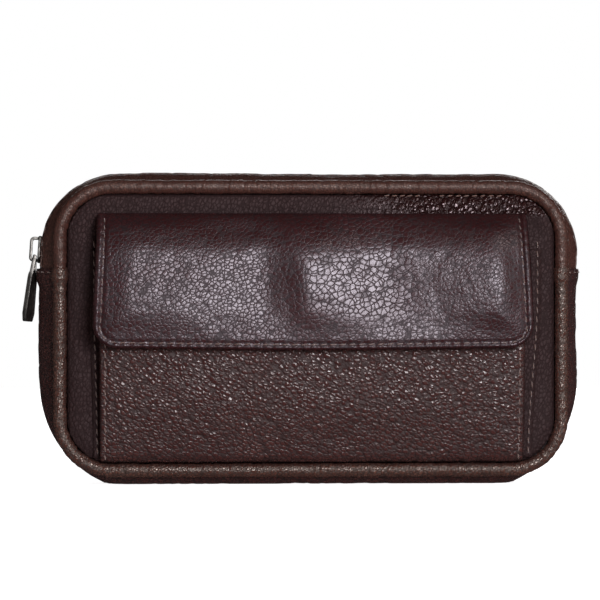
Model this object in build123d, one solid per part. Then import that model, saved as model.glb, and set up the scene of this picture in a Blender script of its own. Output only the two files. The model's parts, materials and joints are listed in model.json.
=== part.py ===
from build123d import *
import os
from math import cos, pi, radians, sin

# A leather waist pack that is worn on the wearer's own belt: a zipped main compartment between two piped
# panels, a bellows pocket with a magnetic flap on the front, and two belt loops on the back.
# Millimetres. +X is the wearer's left, the front faces -Y, +Z is up. The origin is the middle of the
# flat underside that the pack stands on.

# Body outline: the line that the centre of the piping follows, a rounded rectangle
OUTLINE_HALF_WIDTH = 91.5
OUTLINE_HALF_HEIGHT = 51.5
OUTLINE_RADIUS = 19.0
OUTLINE_MIDDLE_Z = 57.0

# Panels and piping
PANEL_FACE_Y = 20.0  # outer face of the front and back panels, from the mid plane
PANEL_LEATHER = 1.6
PIPING_Y = 19.0
PIPING_RADIUS = 2.7
PIPING_LEATHER = 1.0
CORD_RADIUS = 1.6
LINING = 0.5
LINING_SPACE = 0.2  # between the panels and their linings
EDGE_GAP = 0.05  # between pieces of one sewn body that meet edge to edge

# Gusset, which joins the two pipings and bulges outwards between them
GUSSET_HALF_DEPTH = 16.2
GUSSET_LEATHER = 1.4
GUSSET_EDGE_STAND = 0.5  # how far outside the outline the gusset's edges lie
SIDE_BULGE = 7.5
TOP_BULGE = 5.0
BOTTOM_BULGE = 9.0
CORNER_BULGE = 10.5  # what the bulge adds to the upper corners' radius
LOWER_CORNER_BULGE = 22.5  # and to the lower ones', which hang rounder
LAP_Z = 79.0  # where the zipped upper gusset is sewn under the lower one
UPPER_LINING_INNER_Y = 8.5

# Zip
SLOT_HALF = 4.6  # half the gap between the two leather strips
TAPE_INNER_Y = 2.75
TAPE_OUTER_Y = 11.0
TAPE_DEPTH = 1.5  # below the outer face of the leather
TAPE_THICK = 0.6
TAPE_TUCK = 5.0  # length of tape under the lap
TOOTH_PITCH = 2.5
TOOTH_WIDTH = 1.1
TOOTH_HEIGHT = 2.2
TOOTH_CENTRE = 2.0  # below the crown of the gusset
TOOTH_REACH = 0.6  # past the mid plane
TOOTH_START = 0.4  # first tooth, past the middle of the closed slider
STOP_LENGTH = 1.4
STOP_HEIGHT = 1.8
STOP_INNER_Y = 0.5  # of the two top stops, from the mid plane
STOP_SPACE = 0.3  # between the top stops and the closed slider

# Slider and puller
SLIDER_ANGLE = 3.8  # where the closed slider stands on the corner, in degrees above the side
SLIDER_HALF_LENGTH = 5.0
SLIDER_NOSE = 2.4  # half widths of the slider: at its closing end,
SLIDER_WIDE = 4.2  # at its shoulders
SLIDER_NARROW = 3.0  # and behind
SLIDER_NOSE_LENGTH = 2.0
SLIDER_WAIST_U = 0.6  # where it starts to narrow, past its middle
SLIDER_CORNER = 0.8
SLIDER_EDGE = 0.4
POST_START_U = -4.3
POST_MIDDLE_U = -2.8
POST_END_U = -1.2
POST_HALF = 0.8
CHANNEL_TOP = -0.7
CHANNEL_BOTTOM = -3.8
TOP_PLATE = 1.2
BOTTOM_PLATE = 1.1
FLANGE = 0.6
FLANGE_INNER = 3.3
BRIDGE_HALF_WIDTH = 0.9
BRIDGE_BAR = 1.1
BRIDGE_HALF_LENGTH = 4.6
BRIDGE_HEIGHT = 3.6
BRIDGE_OUTER_CORNER = 1.6
BRIDGE_INNER_CORNER = 0.7
PIVOT_U = -2.55
PIVOT_N = 1.5
PULL_LEAN = 2.7  # of the hanging puller from the slider's own direction, in degrees
PULL_BAR_RADIUS = 0.65
PULL_NECK_HALF = 2.8
PULL_EYE_HALF = 1.35
PULL_EYE_END = 5.2
PULL_THIN_END = 5.8  # the thin part round the eye ends here
PULL_SHOULDER = 6.7  # and the tag starts to widen here
PULL_LENGTH = 24.2
PULL_END_HALF = 4.2
PULL_END_CHAMFER = (3.0, 1.2)
PULL_END_RADIUS = 1.0
PULL_THICK = 1.6

# Front pocket: the line of its outer face as (y, z), from the bottom seam to the mouth
POCKET_LINE = [
    (-21.7, 8.8),
    (-25.0, 13.5),
    (-26.8, 21.0),
    (-28.1, 34.0),
    (-29.0, 49.0),
    (-29.3, 66.0),
    (-28.9, 86.0),
]
POCKET_HALF_WIDTH = 77.0
POCKET_LEATHER = 1.4
POCKET_LINING = 0.4
POCKET_LINING_HALF_WIDTH = 74.0
BELLOWS_BOTTOM_Z = 22.0
BELLOWS_TOP_Z = 85.0
BELLOWS_FOLD_IN = 5.0
BELLOWS_LEATHER = 0.9
BELLOWS_LIP = 2.0  # how far its two ends lie on the panel and on the pocket's face
BELLOWS_SPACE = 0.35  # behind the pocket's face, which is curved where the strip is straight

# Flap: the line of its inner face as (y, z), from the fold to the lower edge
FLAP_LINE = [(-22.3, 96.6), (-27.2, 91.0), (-31.2, 81.5), (-32.7, 68.0), (-32.2, 50.4)]
FLAP_HALF_WIDTH_TOP = 78.4
FLAP_HALF_WIDTH_BOTTOM = 79.8
FLAP_CORNER = 9.0
FLAP_LINING = 1.0
FLAP_LEATHER = 1.3
FLAP_PLY_GAP = 0.05
FLAP_CUT_MARGIN = 3.0  # of the plies before they are cut to the outline
TAB_TOP_Z = 96.8
TAB_HEIGHT = 7.0
TAB_LEATHER = 1.2

# Magnetic snap
SNAP_Z = 62.0
SNAP_RADIUS = 8.5
SOCKET_SEAT_Y = -28.9
SOCKET_FRONT_Y = -31.2
SOCKET_SKIN = 0.35
SOCKET_HOLE_RADIUS = 2.8
SOCKET_HOLE_DEPTH = 1.7
MAGNET_INNER_RADIUS = 3.3
MAGNET_RADIUS = 6.7
SOCKET_WASHER_Y = -27.0
SOCKET_PRONG_X = 7.6
STUD_RADIUS = 8.0
STUD_SEAT_Y = -32.95
STUD_PLATE = 0.7
STUD_NUB_RADIUS = 2.0
STUD_NUB_LENGTH = 1.6
STUD_WASHER_Y = -33.3
STUD_WASHER_SPACE = 0.6
STUD_PRONG_X = 5.5
WASHER_RADIUS = 9.0
WASHER_THICK = 0.35
WASHER_ROOM = 0.1
PRONG_WIDTH = 1.6
PRONG_THICK = 0.5
PRONG_SLOT_ROOM = 0.1
PRONG_ROOT = 0.2  # how deep a leg stands in its plate
PRONG_END = 0.3  # how far the socket's legs stand behind their washer
THROUGH = 1.0  # how far a cut goes past what it cuts

# Belt loops on the back: the line of the inner face as (y, z), from the lower seam to the upper one
LOOP_LINE = [
    (20.05, 20.0),
    (20.05, 32.0),
    (25.0, 38.5),
    (25.4, 57.0),
    (25.0, 77.5),
    (20.05, 84.0),
    (20.05, 96.0),
]
LOOP_BEND = 4.0
LOOP_BEND_SHIFT = 1.2  # how far the outer bends lie beyond the inner ones, to keep the strap even
LOOP_LEATHER = 2.0
LOOP_HALF_WIDTH = 16.0
LOOP_X = 48.0

# Worked out from the above
GUSSET_EDGE_HALF_WIDTH = OUTLINE_HALF_WIDTH + GUSSET_EDGE_STAND
GUSSET_EDGE_TOP = OUTLINE_MIDDLE_Z + OUTLINE_HALF_HEIGHT + GUSSET_EDGE_STAND
GUSSET_EDGE_BOTTOM = OUTLINE_MIDDLE_Z - OUTLINE_HALF_HEIGHT - GUSSET_EDGE_STAND
CROWN_HALF_WIDTH = GUSSET_EDGE_HALF_WIDTH + SIDE_BULGE
CROWN_TOP = GUSSET_EDGE_TOP + TOP_BULGE
GUSSET_EDGE_RADIUS = OUTLINE_RADIUS + GUSSET_EDGE_STAND
CROWN_RADIUS = GUSSET_EDGE_RADIUS + CORNER_BULGE
CORNER_X = CROWN_HALF_WIDTH - CROWN_RADIUS
CORNER_Z = CROWN_TOP - CROWN_RADIUS
BIG = 400.0


def slab(x=None, y=None, z=None):
    """A box that spans the given ranges, and everything along the axes that have none."""
    spans = [span or (-BIG, BIG) for span in (x, y, z)]
    size = [high - low for low, high in spans]
    middle = [(low + high) / 2 for low, high in spans]
    return Pos(*middle) * Box(*size)


def outline(half_width, low, high, radius, y, low_radius=None):
    """A rounded rectangle that stands in the plane at this y."""
    sketch = Rectangle(2 * half_width, high - low)
    sketch = fillet(sketch.vertices().group_by(Axis.Y)[-1], radius)
    sketch = fillet(sketch.vertices().group_by(Axis.Y)[0], low_radius or radius)
    return Plane.XZ.offset(-y) * Pos(0, (low + high) / 2) * sketch


def panel_plate(inset, y_low, y_high):
    """A flat plate with the outline of the body, drawn in from the centre of the piping by inset."""
    face = outline(
        OUTLINE_HALF_WIDTH - inset,
        OUTLINE_MIDDLE_Z - OUTLINE_HALF_HEIGHT + inset,
        OUTLINE_MIDDLE_Z + OUTLINE_HALF_HEIGHT - inset,
        OUTLINE_RADIUS - inset,
        y_low,
    )
    return extrude(face, amount=y_high - y_low, dir=(0, 1, 0))


def gusset_volume(inset, reach=GUSSET_HALF_DEPTH):
    """The bulging body between the pipings, drawn in by inset and flat where the pack stands."""
    sections = []
    for share in (-1, -0.5, 0, 0.5, 1):
        y = share * reach
        swell = 1 - (y / GUSSET_HALF_DEPTH) ** 2
        sections.append(
            outline(
                GUSSET_EDGE_HALF_WIDTH + SIDE_BULGE * swell - inset,
                GUSSET_EDGE_BOTTOM - BOTTOM_BULGE * swell + inset,
                GUSSET_EDGE_TOP + TOP_BULGE * swell - inset,
                GUSSET_EDGE_RADIUS + CORNER_BULGE * swell - inset,
                y,
                GUSSET_EDGE_RADIUS + LOWER_CORNER_BULGE * swell - inset,
            )
        )
    return loft(sections) & slab(z=(inset, BIG))


def gusset_band(depth, thick, y_reach=GUSSET_HALF_DEPTH):
    """A skin of the gusset, from depth below its outer face to depth + thick."""
    band = gusset_volume(depth) - gusset_volume(depth + thick, GUSSET_HALF_DEPTH + 1)
    return band & slab(y=(-y_reach, y_reach))


def strip_from(line, offset, thick, half_width):
    """A leather strip that follows a smooth line in the YZ plane, offset and thickened to the line's left."""
    near = shifted(line, offset)
    far = shifted(line, offset + thick)
    near_edge = Plane.YZ * Spline(*near)
    far_edge = Plane.YZ * Spline(*far)
    ends = [Edge.make_line(near_edge @ 0, far_edge @ 0), Edge.make_line(near_edge @ 1, far_edge @ 1)]
    face = make_face([near_edge.edge(), far_edge.edge(), *ends])
    return Pos(-half_width, 0, 0) * extrude(face, amount=2 * half_width, dir=(1, 0, 0))


def shifted(line, distance):
    """The points of a line in the YZ plane, moved square to it: to the left as one walks along it."""
    moved = []
    for i, (y, z) in enumerate(line):
        before = line[max(i - 1, 0)]
        after = line[min(i + 1, len(line) - 1)]
        along = Vector(after[0] - before[0], after[1] - before[1]).normalized()
        moved.append((y - along.Y * distance, z + along.X * distance))
    return moved


def disc(radius, y_low, y_high):
    """A disc of the snap, between two depths."""
    middle = Pos(0, (y_low + y_high) / 2, SNAP_Z)
    return middle * Rot(90, 0, 0) * Cylinder(radius, y_high - y_low)


def prongs(x, y_low, y_high, grow=0.0):
    """The two legs that hold a half of the snap, or with grow the slots that they pass through."""
    leg = Box(PRONG_THICK + 2 * grow, y_high - y_low, PRONG_WIDTH + 2 * grow)
    middle_y = (y_low + y_high) / 2
    return [Pos(side * x, middle_y, SNAP_Z) * leg for side in (-1, 1)]


def piping(side):
    """The closed path of the piping, as a leather tube and the cord inside it. side is -1 for the front."""
    y = side * PIPING_Y
    low = OUTLINE_MIDDLE_Z - OUTLINE_HALF_HEIGHT
    high = OUTLINE_MIDDLE_Z + OUTLINE_HALF_HEIGHT
    path = outline(OUTLINE_HALF_WIDTH, low, high, OUTLINE_RADIUS, y).wire()
    start = Plane(origin=path @ 0, z_dir=path % 0)
    tube = sweep(start * Circle(PIPING_RADIUS), path=path)
    hollow = sweep(start * Circle(PIPING_RADIUS - PIPING_LEATHER), path=path)
    cord = sweep(start * Circle(CORD_RADIUS), path=path)
    return tube - hollow, cord


def zip_place(distance):
    """A plane on the crown of the gusset, that far along the zip from the closed slider.

    Its x runs along the zip, its y along the pack's Y and its z outwards.
    """
    corner = CROWN_RADIUS * radians(90 - SLIDER_ANGLE)
    straight = 2 * CORNER_X
    right_corner = CROWN_RADIUS * pi / 2
    if distance < corner:
        turn = radians(SLIDER_ANGLE) + distance / CROWN_RADIUS
        centre = (-CORNER_X, CORNER_Z)
    elif distance < corner + straight:
        turn = pi / 2
        centre = (-CORNER_X + distance - corner, CORNER_Z)
    else:
        past = distance - corner - straight
        turn = pi / 2 + min(past, right_corner) / CROWN_RADIUS
        centre = (CORNER_X, CORNER_Z - max(past - right_corner, 0))
    out = (-cos(turn), 0, sin(turn))
    along = (sin(turn), 0, cos(turn))
    place = (centre[0] + CROWN_RADIUS * out[0], 0, centre[1] + CROWN_RADIUS * out[2])
    return Plane(origin=place, x_dir=along, z_dir=out)


def zip_length():
    """From the closed slider to the bottom stop."""
    last_straight = CORNER_Z - LAP_Z - 2 * STOP_LENGTH
    return CROWN_RADIUS * (radians(90 - SLIDER_ANGLE) + pi / 2) + 2 * CORNER_X + last_straight


def teeth(side):
    """One row of zip teeth; the two rows are half a pitch apart, so that they mesh."""
    reach = TAPE_INNER_Y - EDGE_GAP + TOOTH_REACH
    middle_y = side * (reach / 2 - TOOTH_REACH)
    tooth = Box(TOOTH_WIDTH, reach, TOOTH_HEIGHT)
    row = []
    distance = TOOTH_START + TOOTH_WIDTH / 2 + (TOOTH_PITCH / 2 if side > 0 else 0)
    while distance < zip_length() - TOOTH_WIDTH:
        row.append(zip_place(distance) * Pos(0, middle_y, -TOOTH_CENTRE) * tooth)
        distance += TOOTH_PITCH
    return row


def stops():
    """Two top stops below the closed slider, one on each tape, and the bottom stop across both."""
    blocks = []
    below = -(SLIDER_HALF_LENGTH + STOP_LENGTH / 2 + STOP_SPACE)
    width = TAPE_INNER_Y - STOP_INNER_Y
    block = Box(STOP_LENGTH, width - EDGE_GAP, STOP_HEIGHT)
    for side in (-1, 1):
        start = zip_place(0) * Pos(below, side * (STOP_INNER_Y + width / 2), -TOOTH_CENTRE)
        blocks.append(start * block)
    last = zip_place(zip_length() + STOP_LENGTH / 2)
    bar = Box(STOP_LENGTH, 2 * (TAPE_INNER_Y - EDGE_GAP), TOOTH_HEIGHT)
    blocks.append(last * Pos(0, 0, -TOOTH_CENTRE) * bar)
    return blocks


def slider_outline():
    """The slider from outside: a nose at its closing end, wide shoulders, and narrow behind."""
    points = [
        (-SLIDER_HALF_LENGTH, SLIDER_NOSE),
        (-SLIDER_HALF_LENGTH + SLIDER_NOSE_LENGTH, SLIDER_WIDE),
        (SLIDER_WAIST_U, SLIDER_WIDE),
        (SLIDER_HALF_LENGTH, SLIDER_NARROW),
    ]
    mirrored = [(u, -v) for u, v in reversed(points)]
    face = make_face(Polyline(*points, *mirrored, close=True))
    return fillet(face.vertices(), SLIDER_CORNER)


def slider_body():
    """Two plates joined by a post, with flanges that turn in over the tapes."""
    top = Pos(0, 0, CHANNEL_TOP) * extrude(slider_outline(), amount=TOP_PLATE)
    top = fillet(top.edges().group_by(Axis.Z)[-1], SLIDER_EDGE)
    bottom = Pos(0, 0, CHANNEL_BOTTOM - BOTTOM_PLATE) * extrude(slider_outline(), amount=BOTTOM_PLATE)
    post_points = [
        (POST_START_U, 0),
        (POST_MIDDLE_U, POST_HALF),
        (POST_END_U, 0),
        (POST_MIDDLE_U, -POST_HALF),
    ]
    post_face = make_face(Polyline(*post_points, close=True))
    channel_height = CHANNEL_TOP - CHANNEL_BOTTOM
    post = Pos(0, 0, CHANNEL_BOTTOM) * extrude(post_face, amount=channel_height)
    rim = extrude(slider_outline(), amount=channel_height)
    rim -= Pos(0, 0, channel_height / 2) * Box(BIG, 2 * FLANGE_INNER, BIG)
    rim = Pos(0, 0, CHANNEL_BOTTOM) * rim
    rim -= slab(z=(CHANNEL_BOTTOM + FLANGE, CHANNEL_TOP - FLANGE))
    return top + bottom + post + rim


def slider_bridge():
    """The arch on the slider that the puller hangs from."""
    half = BRIDGE_HALF_LENGTH
    base = CHANNEL_TOP + TOP_PLATE
    outer = Plane.XZ * Pos(0, base) * Rectangle(
        2 * half, BRIDGE_HEIGHT - base, align=(Align.CENTER, Align.MIN)
    )
    outer = fillet(outer.vertices().group_by(Axis.Z)[-1], BRIDGE_OUTER_CORNER)
    inner_height = BRIDGE_HEIGHT - BRIDGE_BAR - base
    inner = Plane.XZ * Pos(0, base) * Rectangle(
        2 * (half - BRIDGE_BAR), inner_height, align=(Align.CENTER, Align.MIN)
    )
    inner = fillet(inner.vertices().group_by(Axis.Z)[-1], BRIDGE_INNER_CORNER)
    return extrude(outer - inner, amount=BRIDGE_HALF_WIDTH, both=True)


def puller():
    """The pull tab: a bar under the bridge, an eye round it, and a flat tag."""
    bar = Rot(90, 0, 0) * Cylinder(PULL_BAR_RADIUS, 2 * PULL_NECK_HALF)
    chamfer_length, chamfer_width = PULL_END_CHAMFER
    points = [
        (0, PULL_NECK_HALF),
        (PULL_SHOULDER, PULL_NECK_HALF),
        (PULL_LENGTH - chamfer_length, PULL_END_HALF),
        (PULL_LENGTH, PULL_END_HALF - chamfer_width),
    ]
    mirrored = [(t, -v) for t, v in reversed(points)]
    whole = extrude(make_face(Polyline(*points, *mirrored, close=True)), amount=PULL_THICK / 2, both=True)
    whole = fillet(whole.edges().filter_by(Axis.Z).group_by(Axis.X)[-1], PULL_END_RADIUS)
    tag = whole & slab(x=(PULL_THIN_END, BIG))
    head = whole & slab(x=(0, PULL_THIN_END), z=(-PULL_BAR_RADIUS, PULL_BAR_RADIUS))
    head -= slab(x=(PULL_BAR_RADIUS, PULL_EYE_END), y=(-PULL_EYE_HALF, PULL_EYE_HALF))
    return head + bar + tag


def slider_frame():
    return zip_place(0)


def puller_frame():
    """At the pivot, with x along the hanging puller."""
    lean = 180 - PULL_LEAN
    return slider_frame() * Pos(PIVOT_U, 0, PIVOT_N) * Rot(0, -lean, 0)


def flap_ply(offset, thick):
    """One ply of the flap, cut to its outline with round lower corners."""
    low = FLAP_LINE[-1][1]
    high = FLAP_LINE[0][1] + 5  # above the fold
    points = [
        (-FLAP_HALF_WIDTH_TOP, high),
        (-FLAP_HALF_WIDTH_BOTTOM, low),
        (FLAP_HALF_WIDTH_BOTTOM, low),
        (FLAP_HALF_WIDTH_TOP, high),
    ]
    face = make_face(Polyline(*points, close=True))
    face = Plane.XZ * fillet(face.vertices().group_by(Axis.Y)[0], FLAP_CORNER)
    cutter = extrude(face, amount=BIG)
    line = [*FLAP_LINE[:-1], (FLAP_LINE[-1][0], low - FLAP_CUT_MARGIN)]
    return strip_from(line[::-1], offset, thick, FLAP_HALF_WIDTH_BOTTOM + FLAP_CUT_MARGIN) & cutter


def flap():
    """The leather and the lining of the flap, cut for the stud's seat, legs and washer."""
    leather = flap_ply(FLAP_LINING + FLAP_PLY_GAP, FLAP_LEATHER)
    lining = flap_ply(0, FLAP_LINING)
    space_front = STUD_WASHER_Y - STUD_WASHER_SPACE
    washer_space = disc(WASHER_RADIUS + WASHER_ROOM, space_front, STUD_WASHER_Y + EDGE_GAP)
    lining -= disc(STUD_RADIUS + EDGE_GAP, STUD_SEAT_Y, STUD_SEAT_Y + 3 * THROUGH)
    for leg in prongs(STUD_PRONG_X, STUD_WASHER_Y - THROUGH, STUD_SEAT_Y + THROUGH, PRONG_SLOT_ROOM):
        lining -= leg
    return leather - washer_space, lining - washer_space


def flap_seam_tab():
    """The part of the flap's leather that is sewn to the front panel, under the fold."""
    back = -PANEL_FACE_Y - EDGE_GAP
    half_width = FLAP_HALF_WIDTH_TOP - 1
    return slab((-half_width, half_width), (back - TAB_LEATHER, back), (TAB_TOP_Z - TAB_HEIGHT, TAB_TOP_Z))


def snap_socket():
    """The case of the fixed half of the snap, open behind for the magnet, with its two legs."""
    case = disc(SNAP_RADIUS, SOCKET_FRONT_Y, SOCKET_SEAT_Y)
    case -= disc(SOCKET_HOLE_RADIUS, SOCKET_FRONT_Y, SOCKET_FRONT_Y + SOCKET_HOLE_DEPTH)
    space = disc(MAGNET_RADIUS + EDGE_GAP, SOCKET_FRONT_Y + SOCKET_SKIN, SOCKET_SEAT_Y)
    space -= disc(MAGNET_INNER_RADIUS - EDGE_GAP, SOCKET_FRONT_Y, SOCKET_SEAT_Y)
    case -= space
    for leg in prongs(SOCKET_PRONG_X, SOCKET_SEAT_Y - PRONG_ROOT, SOCKET_WASHER_Y + WASHER_THICK + PRONG_END):
        case += leg
    return case


def snap_magnet():
    ring = disc(MAGNET_RADIUS, SOCKET_FRONT_Y + SOCKET_SKIN + EDGE_GAP, SOCKET_SEAT_Y - EDGE_GAP)
    return ring - disc(MAGNET_INNER_RADIUS, SOCKET_FRONT_Y, SOCKET_SEAT_Y)


def snap_stud():
    """The moving half of the snap: a plate with a nub that enters the socket, and two legs."""
    plate_front = STUD_SEAT_Y + STUD_PLATE
    stud = disc(STUD_RADIUS, STUD_SEAT_Y, plate_front)
    stud += disc(STUD_NUB_RADIUS, plate_front, plate_front + STUD_NUB_LENGTH)
    for leg in prongs(STUD_PRONG_X, STUD_WASHER_Y - WASHER_THICK, STUD_SEAT_Y + PRONG_ROOT):
        stud += leg
    return stud


def washer(prong_x, y_low, y_high):
    ring = disc(WASHER_RADIUS, y_low, y_high)
    for leg in prongs(prong_x, y_low - THROUGH, y_high + THROUGH, PRONG_SLOT_ROOM):
        ring -= leg
    return ring


def pocket_face():
    """The leather of the pocket's front, with a flat seat and two slots for the socket of the snap."""
    face = strip_from(POCKET_LINE, -POCKET_LEATHER, POCKET_LEATHER, POCKET_HALF_WIDTH)
    face -= disc(SNAP_RADIUS + EDGE_GAP, SOCKET_SEAT_Y - 3 * THROUGH, SOCKET_SEAT_Y)
    for leg in prongs(SOCKET_PRONG_X, SOCKET_SEAT_Y - THROUGH, SOCKET_WASHER_Y + THROUGH, PRONG_SLOT_ROOM):
        face -= leg
    return face


def pocket_lining():
    """The cloth behind the pocket's front, between its bellows, cut out for the washer of the snap."""
    start = -POCKET_LEATHER - EDGE_GAP - POCKET_LINING
    cloth = strip_from(POCKET_LINE, start, POCKET_LINING, POCKET_LINING_HALF_WIDTH)
    cloth &= slab(z=(BELLOWS_BOTTOM_Z + 2, BELLOWS_TOP_Z - 1))
    return cloth - disc(WASHER_RADIUS + 3 * WASHER_ROOM, SOCKET_FRONT_Y, -PANEL_FACE_Y)


def bellows(side):
    """A folded strip that closes one side of the front pocket, and lets its mouth open."""
    sections = []
    for z in (BELLOWS_BOTTOM_Z, (BELLOWS_BOTTOM_Z + BELLOWS_TOP_Z) / 2, BELLOWS_TOP_Z):
        back = -PANEL_FACE_Y - EDGE_GAP
        front = pocket_y(z) + POCKET_LEATHER + BELLOWS_SPACE
        middle = (back + front) / 2
        outer_x = POCKET_HALF_WIDTH - 0.2
        fold = outer_x - BELLOWS_FOLD_IN
        points = [
            (outer_x, back),
            (outer_x, back - BELLOWS_LEATHER),
            (fold + BELLOWS_LEATHER * 1.2, middle),
            (outer_x, front + BELLOWS_LEATHER),
            (outer_x, front),
            (outer_x - BELLOWS_LIP, front),
            (fold - BELLOWS_LEATHER * 0.6, middle),
            (outer_x - BELLOWS_LIP, back),
        ]
        sections.append(Pos(0, 0, z) * make_face(Polyline(*[(side * x, y) for x, y in points], close=True)))
    return loft(sections, ruled=True)


def pocket_y(z):
    """Depth of the pocket's outer face at a height."""
    for (y_low, z_low), (y_high, z_high) in zip(POCKET_LINE, POCKET_LINE[1:]):
        if z <= z_high:
            return y_low + (y_high - y_low) * (z - z_low) / (z_high - z_low)
    return POCKET_LINE[-1][0]


def belt_loop(x):
    """A strap sewn down at both ends, with room for a belt behind it."""
    near = Plane.YZ * FilletPolyline(*LOOP_LINE, radius=LOOP_BEND)
    outer_line = [(y + LOOP_LEATHER, z) for y, z in LOOP_LINE]
    for corner, shift in ((1, -1), (2, -1), (-3, 1), (-2, 1)):
        y, z = outer_line[corner]
        outer_line[corner] = (y, z + shift * LOOP_BEND_SHIFT)
    far = Plane.YZ * FilletPolyline(*outer_line, radius=LOOP_BEND)
    ends = [Edge.make_line(near @ 0, far @ 0), Edge.make_line(near @ 1, far @ 1)]
    face = make_face([*near.edges(), *far.edges(), *ends])
    strap = extrude(face, amount=2 * LOOP_HALF_WIDTH, dir=(1, 0, 0))
    return Pos(x - LOOP_HALF_WIDTH, 0, 0) * strap


def group(solids):
    """Separate solids kept in one node."""
    return Compound(children=[s.solid() if not isinstance(s, Solid) else s for s in solids])


def build():
    nodes = {}
    upper = slab(z=(LAP_Z + EDGE_GAP, BIG))
    lower = slab(z=(-BIG, LAP_Z - EDGE_GAP))

    # Panels and their linings
    nodes["front_panel"] = panel_plate(PIPING_RADIUS + EDGE_GAP, -PANEL_FACE_Y, -PANEL_FACE_Y + PANEL_LEATHER)
    nodes["back_panel"] = panel_plate(PIPING_RADIUS + EDGE_GAP, PANEL_FACE_Y - PANEL_LEATHER, PANEL_FACE_Y)
    lining_y = PANEL_FACE_Y - PANEL_LEATHER - LINING_SPACE
    lining_inset = PIPING_RADIUS + LINING
    nodes["front_lining"] = panel_plate(lining_inset, -lining_y, -lining_y + LINING)
    nodes["back_lining"] = panel_plate(lining_inset, lining_y - LINING, lining_y)

    # Gusset
    leather = gusset_band(0, GUSSET_LEATHER)
    nodes["lower_gusset"] = leather & lower
    nodes["zip_strip_front"] = leather & upper & slab(y=(-BIG, -SLOT_HALF))
    nodes["zip_strip_back"] = leather & upper & slab(y=(SLOT_HALF, BIG))
    lining_depth = TAPE_DEPTH + TAPE_THICK + LINING
    slot = slab(y=(-UPPER_LINING_INNER_Y, UPPER_LINING_INNER_Y), z=(LAP_Z - TAPE_TUCK, BIG))
    nodes["gusset_lining"] = gusset_band(lining_depth, LINING) - slot

    # Piping
    for side, name in ((-1, "front"), (1, "back")):
        tube, cord = piping(side)
        nodes[name + "_piping_upper"] = tube & upper
        nodes[name + "_piping_lower"] = tube & lower
        nodes[name + "_piping_cord"] = cord

    # Zip
    tape = gusset_band(TAPE_DEPTH, TAPE_THICK) & slab(z=(LAP_Z - TAPE_TUCK, BIG))
    nodes["zip_tape_front"] = tape & slab(y=(-TAPE_OUTER_Y, -TAPE_INNER_Y))
    nodes["zip_tape_back"] = tape & slab(y=(TAPE_INNER_Y, TAPE_OUTER_Y))
    nodes["zip_teeth_front"] = group(teeth(-1))
    nodes["zip_teeth_back"] = group(teeth(1))
    nodes["zip_stops"] = group(stops())
    nodes["slider_body"] = slider_frame() * slider_body()
    nodes["slider_bridge"] = slider_frame() * slider_bridge()
    nodes["zip_puller"] = puller_frame() * puller()

    # Front pocket
    nodes["pocket_face"] = pocket_face()
    nodes["pocket_lining"] = pocket_lining()
    nodes["pocket_bellows_left"] = bellows(-1)
    nodes["pocket_bellows_right"] = bellows(1)

    # Flap
    nodes["flap_seam_tab"] = flap_seam_tab()
    nodes["flap_outer"], nodes["flap_lining"] = flap()

    # Magnetic snap
    nodes["snap_socket"] = snap_socket()
    nodes["snap_magnet"] = snap_magnet()
    nodes["snap_socket_washer"] = washer(SOCKET_PRONG_X, SOCKET_WASHER_Y, SOCKET_WASHER_Y + WASHER_THICK)
    nodes["snap_stud"] = snap_stud()
    nodes["snap_stud_washer"] = washer(STUD_PRONG_X, STUD_WASHER_Y - WASHER_THICK, STUD_WASHER_Y)

    # Belt loops
    nodes["belt_loop_left"] = belt_loop(-LOOP_X)
    nodes["belt_loop_right"] = belt_loop(LOOP_X)
    return nodes


os.makedirs("parts", exist_ok=True)
for node_name, shape in build().items():
    export_step(shape, f"parts/{node_name}.step")
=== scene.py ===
import json
import math

import bmesh
import bpy
from mathutils import Matrix, Vector, noise


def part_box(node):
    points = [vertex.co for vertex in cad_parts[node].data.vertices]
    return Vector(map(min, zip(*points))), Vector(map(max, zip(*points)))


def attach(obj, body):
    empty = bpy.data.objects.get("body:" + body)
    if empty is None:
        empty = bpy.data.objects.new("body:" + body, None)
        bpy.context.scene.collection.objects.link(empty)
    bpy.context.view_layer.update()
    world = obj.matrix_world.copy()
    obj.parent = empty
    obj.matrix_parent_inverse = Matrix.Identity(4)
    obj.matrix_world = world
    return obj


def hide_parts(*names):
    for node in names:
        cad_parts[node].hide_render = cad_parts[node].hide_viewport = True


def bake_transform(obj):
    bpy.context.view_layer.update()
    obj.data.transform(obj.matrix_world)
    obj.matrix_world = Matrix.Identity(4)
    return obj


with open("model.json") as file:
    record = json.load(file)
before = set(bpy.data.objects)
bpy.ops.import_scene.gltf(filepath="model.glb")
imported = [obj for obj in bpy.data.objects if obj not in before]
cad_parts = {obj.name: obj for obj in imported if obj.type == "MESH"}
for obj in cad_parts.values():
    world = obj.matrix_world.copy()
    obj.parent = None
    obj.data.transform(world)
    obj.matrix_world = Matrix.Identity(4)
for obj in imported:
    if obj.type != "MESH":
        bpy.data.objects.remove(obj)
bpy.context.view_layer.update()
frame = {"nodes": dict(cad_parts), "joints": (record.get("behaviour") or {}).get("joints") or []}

# A leather waist pack. Lengths in the dictionaries are millimetres, and mm turns them into metres.
mm = 0.001


def corners(node):
    low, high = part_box(node)
    return Vector(low) / mm, Vector(high) / mm


cordLow, cordHigh = corners("front_piping_cord")
tubeLow, tubeHigh = corners("front_piping_lower")
panelLow, panelHigh = corners("front_panel")
gussetHigh = corners("lower_gusset")[1]
stripHigh = corners("zip_strip_front")[1]
tapeLow, tapeHigh = corners("zip_tape_back")
pocketHigh = corners("pocket_face")[1]
flapLow, flapHigh = corners("flap_outer")
loopLow, loopHigh = corners("belt_loop_left")
joints = {joint["name"]: joint for joint in frame["joints"]}
zipCorner = Vector(joints["slider_travel"]["pos_m"]) / mm

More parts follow.
